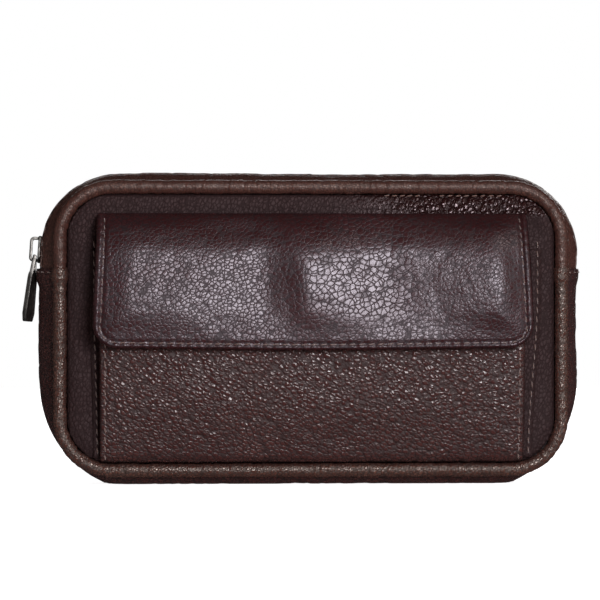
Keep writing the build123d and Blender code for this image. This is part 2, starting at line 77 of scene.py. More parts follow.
pipe = {
    "y": (tubeLow.y + tubeHigh.y) / 2,
    "radius": (tubeHigh.y - tubeLow.y) / 2,
    "cord": (cordHigh.y - cordLow.y) / 2,
}
pipe["half"] = cordHigh.x - pipe["cord"]
pipe["low"] = cordLow.z + pipe["cord"]
pipe["high"] = cordHigh.z - pipe["cord"]
seamZ = gussetHigh.z
midZ = (pipe["low"] + pipe["high"]) / 2


def shape(half, low, high, topRadius, lowRadius=None):
    # a rounded rectangle, standing
    return {"half": half, "low": low, "high": high, "top": topRadius, "foot": lowRadius or topRadius}


bodyLine = shape(pipe["half"], pipe["low"], pipe["high"], 19.0)


def inEdge(x, z, around):
    # how far inside the edge, and how far along it from the middle of the bottom
    side = 1 if x >= 0 else -1
    x = abs(x)
    foot, top = around["foot"], around["top"]
    height = around["high"] - around["low"]
    lowLength = around["half"] - foot
    if x > lowLength and z < around["low"] + foot:
        dx = x - lowLength
        dz = around["low"] + foot - z
        return foot - math.hypot(dx, dz), side * (lowLength + foot * math.atan2(dx, dz))
    topLength = around["half"] - top
    before = lowLength + foot * math.pi / 2
    straight = height - foot - top
    if x > topLength and z > around["high"] - top:
        dx = x - topLength
        dz = z - around["high"] + top
        return top - math.hypot(dx, dz), side * (before + straight + top * math.atan2(dz, dx))
    toSide = around["half"] - x
    toLow = z - around["low"]
    toTop = around["high"] - z
    if toSide <= min(toLow, toTop):
        return toSide, side * (before + z - around["low"] - foot)
    if toLow < toTop:
        return toLow, side * x
    return toTop, side * (before + straight + top * math.pi / 2 + topLength - x)


def onEdge(along, around, inset=0.0):
    # the other way about: the point that far along the edge, set in from it
    side = 1 if along >= 0 else -1
    along = abs(along)
    foot, top = around["foot"], around["top"]
    lowLength = around["half"] - foot
    topLength = around["half"] - top
    straight = around["high"] - around["low"] - foot - top
    if along < lowLength:
        return side * along, around["low"] + inset
    along -= lowLength
    if along < foot * math.pi / 2:
        turn = along / foot
        reach = foot - inset
        return side * (lowLength + reach * math.sin(turn)), around["low"] + foot - reach * math.cos(turn)
    along -= foot * math.pi / 2
    if along < straight:
        return side * (around["half"] - inset), around["low"] + foot + along
    along -= straight
    if along < top * math.pi / 2:
        turn = along / top
        reach = top - inset
        return side * (topLength + reach * math.cos(turn)), around["high"] - top + reach * math.sin(turn)
    along -= top * math.pi / 2
    return side * (topLength - along), around["high"] - inset


def softly(value, start, end):
    # 0 before start, 1 after end
    share = min(max((value - start) / (end - start), 0.0), 1.0)
    return share * share * (3 - 2 * share)


def hill(distance, width):
    return math.exp(-((distance / width) ** 2))


def waver(x, y, z, size, seed=0.0):
    # smooth noise from -1 to 1, with features of that size
    return noise.noise(Vector((x / size + seed * 7.3, y / size - seed * 3.1, z / size + seed * 5.7)))


def crease(x, y, z, size, seed=0.0, sharp=6.0):
    # thin dips along the lines where a smooth noise passes through zero
    return max(0.0, 1 - sharp * abs(waver(x, y, z, size, seed)))


def smoothLine(points, steps=14):
    # a curve through the points, as points close together
    whole = [points[0], *points, points[-1]]
    line = []
    for before, start, end, after in zip(whole, whole[1:], whole[2:], whole[3:]):
        for step in range(steps):
            t = step / steps
            point = []
            for a, b, c, d in zip(before, start, end, after):
                curve = (2 * a - 5 * b + 4 * c - d) * t * t + (3 * b - a - 3 * c + d) * t ** 3
                point.append(0.5 * (2 * b + (c - a) * t + curve))
            line.append(point)
    line.append(list(points[-1]))
    return line


class Profile:
    # a curve in the YZ plane that can be asked for its point at any length
    def __init__(self, points):
        self.line = smoothLine(points)
        self.lengths = [0.0]
        for (y, z), (nextY, nextZ) in zip(self.line, self.line[1:]):
            self.lengths.append(self.lengths[-1] + math.hypot(nextY - y, nextZ - z))
        self.length = self.lengths[-1]

    def at(self, length):
        # the point, and the direction square to the curve on its left
        index = 0
        while index < len(self.line) - 2 and self.lengths[index + 1] < length:
            index += 1
        (y, z), (nextY, nextZ) = self.line[index], self.line[index + 1]
        span = self.lengths[index + 1] - self.lengths[index]
        share = (length - self.lengths[index]) / span
        out = ((z - nextZ) / span, (nextY - y) / span)
        return (y + share * (nextY - y), z + share * (nextZ - z)), out


def flatSheet(width, length, step, radius=0.0, tops=False):
    # a flat grid in the XZ plane, from z = 0 up, facing -Y, with its lower corners rounded, or all four
    mesh = bmesh.new()
    bmesh.ops.create_grid(mesh, x_segments=round(width / step), y_segments=round(length / step), size=0.5)
    bmesh.ops.scale(mesh, vec=(width, length, 1), verts=mesh.verts)
    bmesh.ops.rotate(mesh, cent=(0, 0, 0), matrix=Matrix.Rotation(math.pi / 2, 3, "X"), verts=mesh.verts)
    bmesh.ops.translate(mesh, vec=(0, 0, length / 2), verts=mesh.verts)
    cuts = 8
    for side in (-1, 1):
        for up in ((-1, 1) if tops else (-1,)):
            if not radius:
                continue
            centre = Vector((side * (width / 2 - radius), 0, radius if up < 0 else length - radius))
            for cut in range(cuts):
                turn = math.pi / 2 * (cut + 0.5) / cuts
                out = Vector((side * math.cos(turn), 0, up * math.sin(turn)))
                bmesh.ops.bisect_plane(
                    mesh,
                    geom=[*mesh.verts, *mesh.edges, *mesh.faces],
                    plane_co=centre + out * radius,
                    plane_no=out,
                    clear_outer=True,
                )
    return mesh


def layOver(mesh, surface):
    # moves each point of a flat sheet to its place on a surface
    for vert in mesh.verts:
        vert.co = surface(vert.co.x, vert.co.z)


def newest(geometry, kind):
    return [item for item in geometry if isinstance(item, kind)]


def carry(mesh, edges, steps, run):
    # extrudes a row of edges along a straight run, and gives back its last copy
    for _ in range(steps):
        grown = bmesh.ops.extrude_edge_only(mesh, edges=edges)["geom"]
        verts = newest(grown, bmesh.types.BMVert)
        bmesh.ops.translate(mesh, verts=verts, vec=run / steps)
        fresh = set(verts)
        edges = [edge for edge in newest(grown, bmesh.types.BMEdge) if set(edge.verts) <= fresh]
    return edges


def turn(mesh, edges, centre, angle, steps):
    verts = list({vert for edge in edges for vert in edge.verts})
    made = bmesh.ops.spin(
        mesh, geom=[*verts, *edges], cent=centre, axis=(0, 1, 0), angle=angle, steps=steps
    )["geom_last"]
    fresh = set(newest(made, bmesh.types.BMVert))
    return [edge for edge in newest(made, bmesh.types.BMEdge) if set(edge.verts) <= fresh]


def carryAround(mesh, edges, around, startZ, over, step):
    # takes a row from the left side to the right one, over the top or under the bottom
    way = 1 if over else -1
    radius = around["top"] if over else around["foot"]
    turnZ = around["high"] - radius if over else around["low"] + radius
    reach = around["half"] - radius
    rise = Vector((0, 0, turnZ - startZ))
    bends = max(6, round(radius * math.pi / 2 / step))
    edges = carry(mesh, edges, max(1, round(rise.length / step)), rise)
    edges = turn(mesh, edges, (-reach, 0, turnZ), way * math.pi / 2, bends)
    edges = carry(mesh, edges, round(2 * reach / step), Vector((2 * reach, 0, 0)))
    edges = turn(mesh, edges, (reach, 0, turnZ), way * math.pi / 2, bends)
    return carry(mesh, edges, max(1, round(rise.length / step)), -rise)


def rowOfPoints(mesh, x, z, startY, endY, steps):
    # a row of edges along Y, to be carried
    first = mesh.verts.new((x, startY, z))
    for _ in range(steps):
        grown = bmesh.ops.extrude_vert_indiv(mesh, verts=[first])["verts"]
        bmesh.ops.translate(mesh, verts=grown, vec=(0, (endY - startY) / steps, 0))
        first = grown[0]
    return list(mesh.edges)


def finishPiece(name, mesh, body, slotName, material, nodes=(), wall=0.0, rimMaterial=None):
    # mesh is in millimetres, and the piece in metres
    bmesh.ops.scale(mesh, vec=(mm, mm, mm), verts=mesh.verts)
    data = bpy.data.meshes.new(name)
    mesh.to_mesh(data)
    mesh.free()
    data.polygons.foreach_set("use_smooth", [True] * len(data.polygons))
    piece = bpy.data.objects.new(name, data)
    bpy.context.scene.collection.objects.link(piece)
    data.materials.append(material)
    if rimMaterial:
        data.materials.append(rimMaterial)
    if wall:
        thick = piece.modifiers.new("wall", "SOLIDIFY")
        thick.thickness = wall * mm
        thick.offset = -1
        thick.use_even_offset = True
        if rimMaterial:
            thick.material_offset_rim = 1
    if body:
        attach(piece, body)
    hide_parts(*nodes)
    return piece


def facingOut(mesh, centre):
    # turns all the faces of an open sheet away from a point
    bmesh.ops.recalc_face_normals(mesh, faces=mesh.faces)
    outward = sum(
        (face.calc_center_median() - centre).dot(face.normal) * face.calc_area() for face in mesh.faces
    )
    if outward < 0:
        bmesh.ops.reverse_faces(mesh, faces=mesh.faces)


def copyNode(node):
    # a CAD node's mesh, merged, in millimetres
    mesh = bmesh.new()
    mesh.from_mesh(frame["nodes"][node].data)
    bmesh.ops.scale(mesh, vec=(1 / mm, 1 / mm, 1 / mm), verts=mesh.verts)
    bmesh.ops.remove_doubles(mesh, verts=mesh.verts, dist=0.005)
    bmesh.ops.dissolve_limit(
        mesh, angle_limit=math.radians(2), verts=mesh.verts, edges=mesh.edges
    )
    return mesh


stitch = {"pitch": 3.4, "length": 2.45, "width": 0.52, "sink": 0.16, "slant": 8.0, "reach": 0.4}


def evenly(path, pitch):
    # points along a path of (x, z), each the middle of one stitch
    lengths = [0.0]
    for (x, z), (nextX, nextZ) in zip(path, path[1:]):
        lengths.append(lengths[-1] + math.hypot(nextX - x, nextZ - z))
    count = max(1, int(lengths[-1] / pitch))
    real = lengths[-1] / count
    places = []
    index = 0
    for number in range(count):
        length = (number + 0.5) * real
        while lengths[index + 1] < length:
            index += 1
        share = (length - lengths[index]) / (lengths[index + 1] - lengths[index])
        (x, z), (nextX, nextZ) = path[index], path[index + 1]
        direction = math.atan2(nextZ - z, nextX - x)
        places.append((x + share * (nextX - x), z + share * (nextZ - z), direction))
    return places


def sew(mesh, surface, path, outward=None, look=stitch):
    # lays stitches on a surface, along a path of (x, z) on the flat sheet. Where the surface goes round,
    # outward is a point that its outside faces away from
    reach = look["reach"]
    for x, z, direction in evenly(path, look["pitch"]):
        direction += math.radians(look["slant"])
        middle = surface(x, z)
        along = surface(x + reach * math.cos(direction), z + reach * math.sin(direction)) - middle
        across = surface(x - reach * math.sin(direction), z + reach * math.cos(direction)) - middle
        along.normalize()
        out = along.cross(across).normalized()
        if outward is not None and out.dot(middle - outward) < 0:
            out = -out
        addStitch(mesh, middle, along, out, look)


def addStitch(mesh, middle, along, out, look):
    across = out.cross(along)
    turned = Matrix((along, across, out)).transposed().to_4x4()
    size = Matrix.Diagonal((look["length"], look["width"], look["width"], 1))
    place = Matrix.Translation(middle + out * (look["width"] / 2 - look["sink"])) @ turned @ size
    bmesh.ops.create_uvsphere(
        mesh, u_segments=6, v_segments=6, radius=0.5,
        matrix=place @ Matrix.Rotation(math.pi / 2, 4, "Y"),
    )


class Wire:
    # a socket of a material; sums and products of wires add Math nodes
    def __init__(self, tree, socket):
        self.tree = tree
        self.socket = socket

    def node(self, kind, settings=None, inputs=None, output=0):
        made = self.tree.nodes.new("ShaderNode" + kind)
        for name, value in (settings or {}).items():
            if name == "stops":
                setStops(made.color_ramp, value)
            else:
                setattr(made, name, value)
        for name, value in (inputs or {}).items():
            if isinstance(value, Wire):
                self.tree.links.new(value.socket, made.inputs[name])
            else:
                made.inputs[name].default_value = value
        return Wire(self.tree, made.outputs[output] if made.outputs else None)

    def math(self, operation, first, second=0.0):
        return self.node("Math", {"operation": operation}, {0: first, 1: second})

    def __add__(self, other):
        return self.math("ADD", self, other)

    __radd__ = __add__

    def __mul__(self, other):
        return self.math("MULTIPLY", self, other)

    __rmul__ = __mul__

    def __sub__(self, other):
        return self.math("SUBTRACT", self, other)

    def __rsub__(self, other):
        return self.math("SUBTRACT", other, self)

    def __pow__(self, other):
        return self.math("POWER", self, other)

    def __abs__(self):
        return self.math("ABSOLUTE", self)

    def rise(self, start, end):
        # 0 below start, 1 above end, smooth between
        values = {"Value": self, "From Min": start, "From Max": end}
        return self.node("MapRange", {"interpolation_type": "SMOOTHSTEP"}, values)

    def between(self, first, second):
        # a colour, mixed by this wire
        return self.node("Mix", {"data_type": "RGBA"}, {0: self, 6: first, 7: second}, output=2)

    def noise(self, size, detail=2.0, distortion=0.0, output=0):
        values = {"Vector": self, "Scale": 1 / (size * mm), "Detail": detail, "Distortion": distortion}
        return self.node("TexNoise", {}, values, output)

    def cells(self, size, feature="DISTANCE_TO_EDGE"):
        values = {"Vector": self, "Scale": 1 / (size * mm)}
        return self.node("TexVoronoi", {"feature": feature}, values, "Distance")

    def stretched(self, scale, turned=(0, 0, 0)):
        # features grow by the scale along the turned axes
        angles = [math.radians(angle) for angle in turned]
        values = {"Vector": self, "Rotation": angles, "Scale": scale}
        return self.node("Mapping", {"vector_type": "TEXTURE"}, values)

    def nudged(self, other, amount):
        # this position, moved by a colour or vector around the middle of its range
        values = {0: other, 1: [amount * mm] * 3, 2: self}
        return self.node("VectorMath", {"operation": "MULTIPLY_ADD"}, values)


def setStops(ramp, stops):
    while len(ramp.elements) < len(stops):
        ramp.elements.new(0.5)
    for element, (position, colour) in zip(ramp.elements, stops):
        element.position = position
        element.color = (*colour, 1)


def colour(red, green, blue):
    return (red, green, blue, 1)


def startMaterial(name):
    material = bpy.data.materials.new(name)
    material.use_nodes = True
    tree = material.node_tree
    tree.nodes.clear()
    return material, Wire(tree, None).node("TexCoord", {}, {}, "Object")


def endMaterial(place, inputs, height=None, depth=1.0):
    # height is in millimetres
    if height is not None:
        inputs["Normal"] = place.node("Bump", {}, {"Strength": depth, "Distance": mm, "Height": height})
    shader = place.node("BsdfPrincipled", {}, inputs)
    place.node("OutputMaterial", {}, {"Surface": shader})


# in each look, dark is the painted shade colour given to the valleys of the grain
leathers = {
    "grain": {
        "pebble": 1.25, "long": 1.5, "lean": (0, -62, 0), "creaseWidth": 0.24,
        "creaseDepth": 0.06, "domeDepth": 0.36, "fineDepth": 0.008, "tiltDepth": 0.34, "foldDepth": 0.24,
        "foldSize": 4.5, "dark": (0.017, 0.0044, 0.0043), "base": (0.033, 0.0098, 0.0088),
        "light": (0.048, 0.0172, 0.0148), "rough": 0.21, "valleyRough": 0.42,
        "shine": 0.46, "tint": (1.0, 0.97, 0.92),
    },
    "panel": {
        "pebble": 1.15, "long": 1.5, "lean": (0, 20, 0), "creaseWidth": 0.24,
        "creaseDepth": 0.05, "domeDepth": 0.20, "fineDepth": 0.006, "tiltDepth": 0.14, "foldDepth": 0.12,
        "foldSize": 4.0, "dark": (0.008, 0.0022, 0.0021), "base": (0.0115, 0.0031, 0.0029),
        "light": (0.021, 0.0068, 0.0062), "rough": 0.64, "valleyRough": 0.16,
        "shine": 0.36, "tint": (1.0, 0.80, 0.79), "large": 1.6, "largeDepth": 3.0,
        "coarseShine": 0.46,
    },
    "piping": {
        "pebble": 1.0, "long": 1.4, "lean": (0, 25, 0), "creaseWidth": 0.24,
        "creaseDepth": 0.05, "domeDepth": 0.16, "fineDepth": 0.008, "tiltDepth": 0.18, "foldDepth": 0.12,
        "foldSize": 3.0, "dark": (0.020, 0.0065, 0.0050), "base": (0.046, 0.0160, 0.0115),
        "light": (0.080, 0.034, 0.024), "rough": 0.22, "valleyRough": 0.36,
        "shine": 0.75, "tint": (1.0, 0.90, 0.78),
    },
    "smooth": {
        "pebble": 0.9, "long": 1.2, "lean": (0, -20, 0), "creaseWidth": 0.25,
        "creaseDepth": 0.02, "domeDepth": 0.09, "fineDepth": 0.02, "tiltDepth": 0.12, "foldDepth": 0.10,
        "foldSize": 4.0, "dark": (0.026, 0.0082, 0.0060), "base": (0.050, 0.0168, 0.0120),
        "light": (0.076, 0.031, 0.022), "rough": 0.30, "valleyRough": 0.24,
        "shine": 0.5, "tint": (1.0, 0.90, 0.80),
    },
    "flap": {
        "pebble": 1.3, "long": 1.2, "lean": (0, 60, 0), "creaseWidth": 0.17,
        "creaseDepth": 0.030, "domeDepth": 0.075, "fineDepth": 0.003, "tiltDepth": 0.06, "foldDepth": 0.04,
        "foldSize": 5.5, "dark": (0.009, 0.0018, 0.0020), "base": (0.021, 0.0042, 0.0044),
        "light": (0.031, 0.0085, 0.0094), "rough": 0.30, "valleyRough": 0.28,
        "shine": 0.45, "tint": (1.0, 0.93, 0.96), "large": 1.75, "largeDepth": 1.25,
    },
}


hide = {"patchSize": 15.0, "poreSize": 0.22, "poreDepth": 0.015, "shineShift": 0.14, "index": 1.48}


def alongAxis(place, axis):
    return place.node("SeparateXYZ", {}, {"Vector": place}, axis)


def aboveFlap(place):
    # the part of the front panel above the flap, towards +X, where the grain is coarse
    return alongAxis(place, "X").rise(-0.005, 0.045) * alongAxis(place, "Z").rise(0.0965, 0.0995)


def overBulge(place):
    # the middle of the flap, where the hide is stretched and its pebbles are large
    x = alongAxis(place, "X")
    across = x.rise(-0.020, 0.000) * (1 - x.rise(0.022, 0.062) * 0.75)
    return across * alongAxis(place, "Z").rise(0.050, 0.066)


def leather(name, look, coarse=None, stretchedOut=None):
    # pebbles with creases between them, each tilted a little its own way, finer grain, and soft folds, with
    # painted shade in the valleys between them
    material, place = startMaterial(name)
    size = look["pebble"]
    pulled = place.stretched((1, 1, look["long"]), look["lean"])
    warped = pulled.nudged(place.noise(size * 1.7, 2.0, output=1), size * 0.9)
    tops = warped.cells(size).rise(0.0, look["creaseWidth"])
    domes = 1 - warped.cells(size, "F1") ** 2
    shaken = warped.nudged(place.noise(size * 0.5, 1.0, output=1), size * 0.3)
    fine = shaken.cells(size * 0.4).rise(0.0, 0.25)
    patches = place.noise(hide["patchSize"], 3.0)
    tilt = place.noise(size * 1.6, 1.0)
    folds = place.stretched((1, 1, 2.4), look["lean"]).noise(look["foldSize"], 3.0, 0.5)
    creases = 1 - abs(folds - 0.5).rise(0.0, 0.05)
    pores = place.noise(hide["poreSize"], 2.0)
    depth = 0.55 + patches * 0.9
    rough = look["rough"]
    if coarse:
        rough = look["rough"] - coarse(place) * look["coarseShine"]
    if stretchedOut:
        share = stretchedOut(place)
        wide = pulled.nudged(place.noise(look["large"] * 1.5, 2.0, output=1), look["large"] * 0.8)
        wideTops = wide.cells(look["large"]).rise(0.0, look["creaseWidth"] * 0.7)
        tops = tops * (1 - share) + wideTops * share
        domes = domes * (1 - share) + (1 - wide.cells(look["large"], "F1") ** 2) * share
        depth = depth * (1 + share * (look["largeDepth"] - 1))
    height = (
        (tops * look["creaseDepth"] + domes * look["domeDepth"]) * depth
        + fine * look["fineDepth"]
        + tilt * look["tiltDepth"]
        + (folds - creases * 0.3) * look["foldDepth"]
        + pores * hide["poreDepth"]
    )
    # painted shade: the valleys between the pebbles, the folds' creases and the sides of the domes get the
    # darker colour; the same mask also makes these valleys rougher
    sunk = ((1 - tops) * 0.8 + creases * 0.35 + (1 - domes) * 0.5).rise(0.1, 1.0)
    creaseShadedColour = sunk.between(colour(*look["base"]), colour(*look["dark"]))
    worn = (patches * tops).rise(0.42, 0.72) * 0.6
    inputs = {
        "Base Color": worn.between(creaseShadedColour, colour(*look["light"])),
        "Roughness": rough + sunk * look["valleyRough"] + (patches - 0.5) * hide["shineShift"],
        "IOR": hide["index"],
        "Specular IOR Level": look["shine"],
        "Specular Tint": colour(*look["tint"]),
    }
    endMaterial(place, inputs, height)
    return material


threadLook = {"colour": (0.150, 0.052, 0.024), "shade": (0.060, 0.018, 0.010), "rough": 0.6}


def threadMaterial(name, look):
    material, place = startMaterial(name)
    plies = place.stretched((1, 1, 1), (0, 40, 0)).node(
        "TexWave", {"bands_direction": "X"}, {"Scale": 1 / (0.9 * mm), "Distortion": 1.0}, "Fac"
    )
    fuzz = place.noise(0.2, 2.0)
    inputs = {
        "Base Color": (plies * 0.7 + fuzz * 0.3).between(colour(*look["shade"]), colour(*look["colour"])),
        "Roughness": look["rough"] + fuzz * 0.15,
        "Sheen Weight": 0.3,
    }
    endMaterial(place, inputs, plies * 0.08 + fuzz * 0.04)
    return material


clothLook = {"dark": (0.010, 0.006, 0.0055), "light": (0.036, 0.024, 0.021), "pitch": 0.55, "rough": 0.85}


def clothMaterial(name, look):
    # plain twill, the same on every side of a piece
    material, place = startMaterial(name)
    values = {"Scale": 1 / (look["pitch"] * 3 * mm), "Distortion": 0.3}
    twill = place.stretched((1, 1, 1), (0, 45, 0)).node("TexWave", {"bands_direction": "X"}, values, "Fac")
    weft = place.stretched((1, 1, 1), (0, -45, 12)).node("TexWave", {"bands_direction": "X"}, values, "Fac")
    fuzz = place.noise(0.3, 3.0)
    weave = twill * 0.6 + weft * 0.4
    inputs = {
        "Base Color": (weave * 0.8 + fuzz * 0.2).between(colour(*look["dark"]), colour(*look["light"])),
        "Roughness": look["rough"] - fuzz * 0.1,
        "Sheen Weight": 0.25,
        "Sheen Roughness": 0.5,
    }
    endMaterial(place, inputs, weave * 0.10 + fuzz * 0.05)
    return material


metalLook = {"colour": (0.30, 0.28, 0.25), "stain": (0.13, 0.12, 0.105), "rough": 0.34}


def metalMaterial(name, look):
    # nickel plate with fine wear
    material, place = startMaterial(name)
    cloud = place.noise(2.2, 4.0)
    scratches = place.stretched((8, 1, 1), (0, 25, 10)).noise(0.35, 3.0)
    inputs = {
        "Base Color": cloud.rise(0.3, 0.75).between(colour(*look["stain"]), colour(*look["colour"])),
        "Roughness": look["rough"] + scratches.rise(0.45, 0.8) * 0.22 + cloud * 0.08,
        "Metallic": 1.0,
    }
    endMaterial(place, inputs, scratches * 0.02 + cloud * 0.03)
    return material


def plainMaterial(name, base, rough, grain, bumps):
    # one colour broken up by two sizes of noise
    material, place = startMaterial(name)
    big = place.noise(grain * 4, 3.0)
    small = place.noise(grain, 3.0)
    darker = [value * 0.55 for value in base]
    inputs = {
        "Base Color": (big * 0.5 + small * 0.5).rise(0.3, 0.7).between(colour(*darker), colour(*base)),
        "Roughness": rough + (small - 0.5) * 0.2,
    }
    endMaterial(place, inputs, small * bumps)
    return material


grainLeather = leather("grainLeather", leathers["grain"])
panelLeather = leather("panelLeather", leathers["panel"], aboveFlap, aboveFlap)
pipingLeather = leather("pipingLeather", leathers["piping"])
smoothLeather = leather("smoothLeather", leathers["smooth"])
flapLeather = leather("flapLeather", leathers["flap"], stretchedOut=overBulge)
edgePaint = plainMaterial("edgePaint", (0.030, 0.014, 0.012), 0.5, 0.6, 0.05)
thread = threadMaterial("waxedThread", threadLook)
liningCloth = clothMaterial("liningTwill", clothLook)
tapeCloth = clothMaterial("tapeWeave", {**clothLook, "light": (0.030, 0.020, 0.018), "pitch": 0.4})
nickel = metalMaterial("nickel", metalLook)
magnetGrey = plainMaterial("magnetGrey", (0.08, 0.08, 0.085), 0.5, 0.4, 0.03)
cordCotton = plainMaterial("cordCotton", (0.55, 0.50, 0.42), 0.9, 0.3, 0.1)
print("materials made")


panel = {
    "step": 1.15,
    "dip": 0.75,
    "dipWidth": 3.0,
    "pucker": 0.12,
    "swell": 0.35,
    "crest": 1.15,  # the swollen strip above the flap, towards +X only
    "crestZ": 98.5,
    "crestWidth": 4.8,
}
panelShape = shape(panelHigh.x, panelLow.z, panelHigh.z, bodyLine["top"] - pipe["radius"])
panelFace = abs(panelLow.y)


def panelSurface(side, back=0.0):
    # side is -1 for the front and 1 for the back
    def surface(x, up):
        z = panelShape["low"] + up
        depth, along = inEdge(x, z, panelShape)
        out = panel["swell"] * softly(depth, 0, 30) * (0.6 + 0.8 * waver(x, side * 9, z, 34))
        out += 0.12 * waver(x, side * 4, z, 9, 2)
        out += panel["pucker"] * waver(along, 0, depth * 0.15, 2.4, 5) * (1 - softly(depth, 1, 11))
        out -= panel["dip"] * (1 - softly(depth, 0, panel["dipWidth"]))
        out -= 0.12 * crease(x, side, z, 13, 3, 9) * softly(depth, 2, 8)
        if side < 0:
            out += panel["crest"] * softly(x, -5, 40) * hill(z - panel["crestZ"], panel["crestWidth"])
        return Vector((x, side * (panelFace + out - back), z))
    return surface


def panelPiece(name, side, material, slotName, node):
    mesh = flatSheet(2 * panelShape["half"], panelShape["high"] - panelShape["low"], panel["step"],
                     panelShape["top"], tops=True)
    layOver(mesh, panelSurface(side))
    if side > 0:
        bmesh.ops.reverse_faces(mesh, faces=mesh.faces)
    return finishPiece(name, mesh, "bag", slotName, material, [node], wall=1.2)


panelPiece("frontPanelLeather", -1, panelLeather, "grain_leather", "front_panel")
panelPiece("backPanelLeather", 1, grainLeather, "grain_leather", "back_panel")


def seamSurface(x, up):
    return Vector((x, -panelFace - 0.10, up))


seamStitch = {**stitch, "pitch": 2.7, "length": 2.0, "width": 0.55}
seamThreads = bmesh.new()
seamRowZ = panelHigh.z - 0.35
for start, end in ((26, 40), (46, 70)):
    sew(seamThreads, seamSurface, [(start, seamRowZ), (end, seamRowZ)], look=seamStitch)
finishPiece("seamStitching", seamThreads, "bag", "thread", thread)
print("panels made")


gusset = {
    "halfDepth": gussetHigh.y,
    "edgeStand": 0.5,
    "sideBulge": gussetHigh.x - pipe["half"] - 0.5,
    "topBulge": zipCorner.z + (gussetHigh.x + zipCorner.x) - pipe["high"] - 0.5,
    "bottomBulge": 9.0,
    "upperTurn": 10.5,
    "lowerTurn": 22.5,
    "wall": 1.2,
    "step": 1.25,
    "across": 22,
    "lap": 0.9,
    "lapWidth": 4.5,
    "stripLift": 0.55,
    "rowInset": 2.0,  # of the stitches beside the zip
    "lapRow": 1.6,  # of the stitches across the lap, below its edge
    "lapMargin": 1.5,
    "tuck": 4.0,
}
gussetEdge = shape(
    pipe["half"] + gusset["edgeStand"],
    pipe["low"] - gusset["edgeStand"],
    pipe["high"] + gusset["edgeStand"],
    bodyLine["top"] + gusset["edgeStand"],
)


def swollen(x, y, z, inset=0.0):
    # takes a point of the gusset's plain outline to its place on the bulging one
    swell = 1 - (y / gusset["halfDepth"]) ** 2
    half = gussetEdge["half"] + gusset["sideBulge"] * swell - inset
    over = z > seamZ
    if over:
        limit = gussetEdge["high"] + gusset["topBulge"] * swell - inset
        radius = gussetEdge["top"] + gusset["upperTurn"] * swell - inset
        edgeTurnZ = gussetEdge["high"] - gussetEdge["top"]
        turnZ = limit - radius
    else:
        limit = gussetEdge["low"] - gusset["bottomBulge"] * swell + inset
        radius = gussetEdge["foot"] + gusset["lowerTurn"] * swell - inset
        edgeTurnZ = gussetEdge["low"] + gussetEdge["foot"]
        turnZ = limit + radius
    edgeReach = gussetEdge["half"] - gussetEdge["top"]
    reach = half - radius
    side = 1 if x > 0 else -1
    if abs(x) > edgeReach and abs(z - seamZ) > abs(edgeTurnZ - seamZ):
        away = Vector((abs(x) - edgeReach, z - edgeTurnZ)).normalized() * radius
        x = side * (reach + away.x)
        z = turnZ + away.y
    elif abs(x) > edgeReach + 0.01:
        x = side * half
        z = seamZ + (z - seamZ) * (turnZ - seamZ) / (edgeTurnZ - seamZ)
    else:
        x = x * reach / edgeReach
        z = limit
    return Vector((x, y, max(z, inset)))


def lapLift(z, lapped):
    # the lower gusset's end lies on the upper one
    if lapped:
        return gusset["lap"] * softly(z, seamZ - gusset["lapWidth"] - 2.5, seamZ - gusset["lapWidth"] + 1.0)
    return 0.0


def gussetRelief(point, y, along, lapped, slotY):
    edge = gusset["halfDepth"] - abs(y)
    out = 0.45 * waver(along, 0, y * 0.6, 22, 7) * softly(edge, 1, 9)
    out += 0.16 * waver(along, 0, y * 0.25, 5.0, 8)
    out += 0.20 * waver(along, 0, y * 0.1, 2.3, 9) * (1 - softly(edge, 0.5, 7))
    out -= 0.20 * crease(along * 0.7, 3, y * 0.3, 6, 4, 7)
    out -= 0.6 * (1 - softly(edge, 0, 2.2))
    if slotY:
        toSlot = abs(y) - slotY
        out += gusset["stripLift"] * softly(edge, 1, 9)
        out -= 0.25 * (1 - softly(toSlot, 0, 1.0))
        out -= 0.25 * hill(toSlot - gusset["rowInset"], 0.7)
    out += lapLift(point.z, lapped)
    return out


def gussetSurface(lapped, slotY=0.0, inset=0.0, rough=1.0):
    def surface(x, y, z):
        depth, along = inEdge(x, z, gussetEdge)
        point = swollen(x, y, z, inset)
        nearX, nearZ = onEdge(along + 0.5, gussetEdge)
        ahead = swollen(nearX, y, nearZ, inset)
        shift = 0.4 if y < 0 else -0.4
        aside = swollen(x, y + shift, z, inset)
        out = (ahead - point).cross(aside - point).normalized()
        centre = Vector((0, 0, midZ))
        if out.dot(point - centre) < 0:
            out = -out
        relief = rough * gussetRelief(point, y, along, lapped, slotY)
        if point.z < 2 and inset == 0:
            relief = min(relief, 0.0)
        moved = point + out * relief
        moved.z = max(moved.z, 0.0)
        return moved
    return surface


def gussetPiece(name, over, startY, endY, startZ, surface, across, step, **finish):
    mesh = bmesh.new()
    edges = rowOfPoints(mesh, -gussetEdge["half"], startZ, startY, endY, across)
    carryAround(mesh, edges, gussetEdge, startZ, over, step)
    bmesh.ops.remove_doubles(mesh, verts=mesh.verts, dist=0.001)
    for vert in mesh.verts:
        vert.co = surface(*vert.co)
    facingOut(mesh, Vector((0, 0, midZ)))
    return finishPiece(name, mesh, **finish)


slotY = -stripHigh.y
lowerSurface = gussetSurface(lapped=True)
stripSurface = gussetSurface(lapped=False, slotY=slotY)
gussetPiece(
    "lowerGussetLeather", False, -gusset["halfDepth"], gusset["halfDepth"], seamZ, lowerSurface,
    gusset["across"] + 6, gusset["step"], body="bag", slotName="grain_leather", material=grainLeather,
    nodes=["lower_gusset"], wall=gusset["wall"], rimMaterial=edgePaint,
)
for side, name in ((-1, "front"), (1, "back")):
    gussetPiece(
        name + "ZipStripLeather", True, side * gusset["halfDepth"], side * slotY, seamZ - gusset["tuck"],
        stripSurface, 15, gusset["step"], body="bag", slotName="smooth_leather", material=smoothLeather,
        nodes=["zip_strip_" + name], wall=gusset["wall"], rimMaterial=edgePaint,
    )


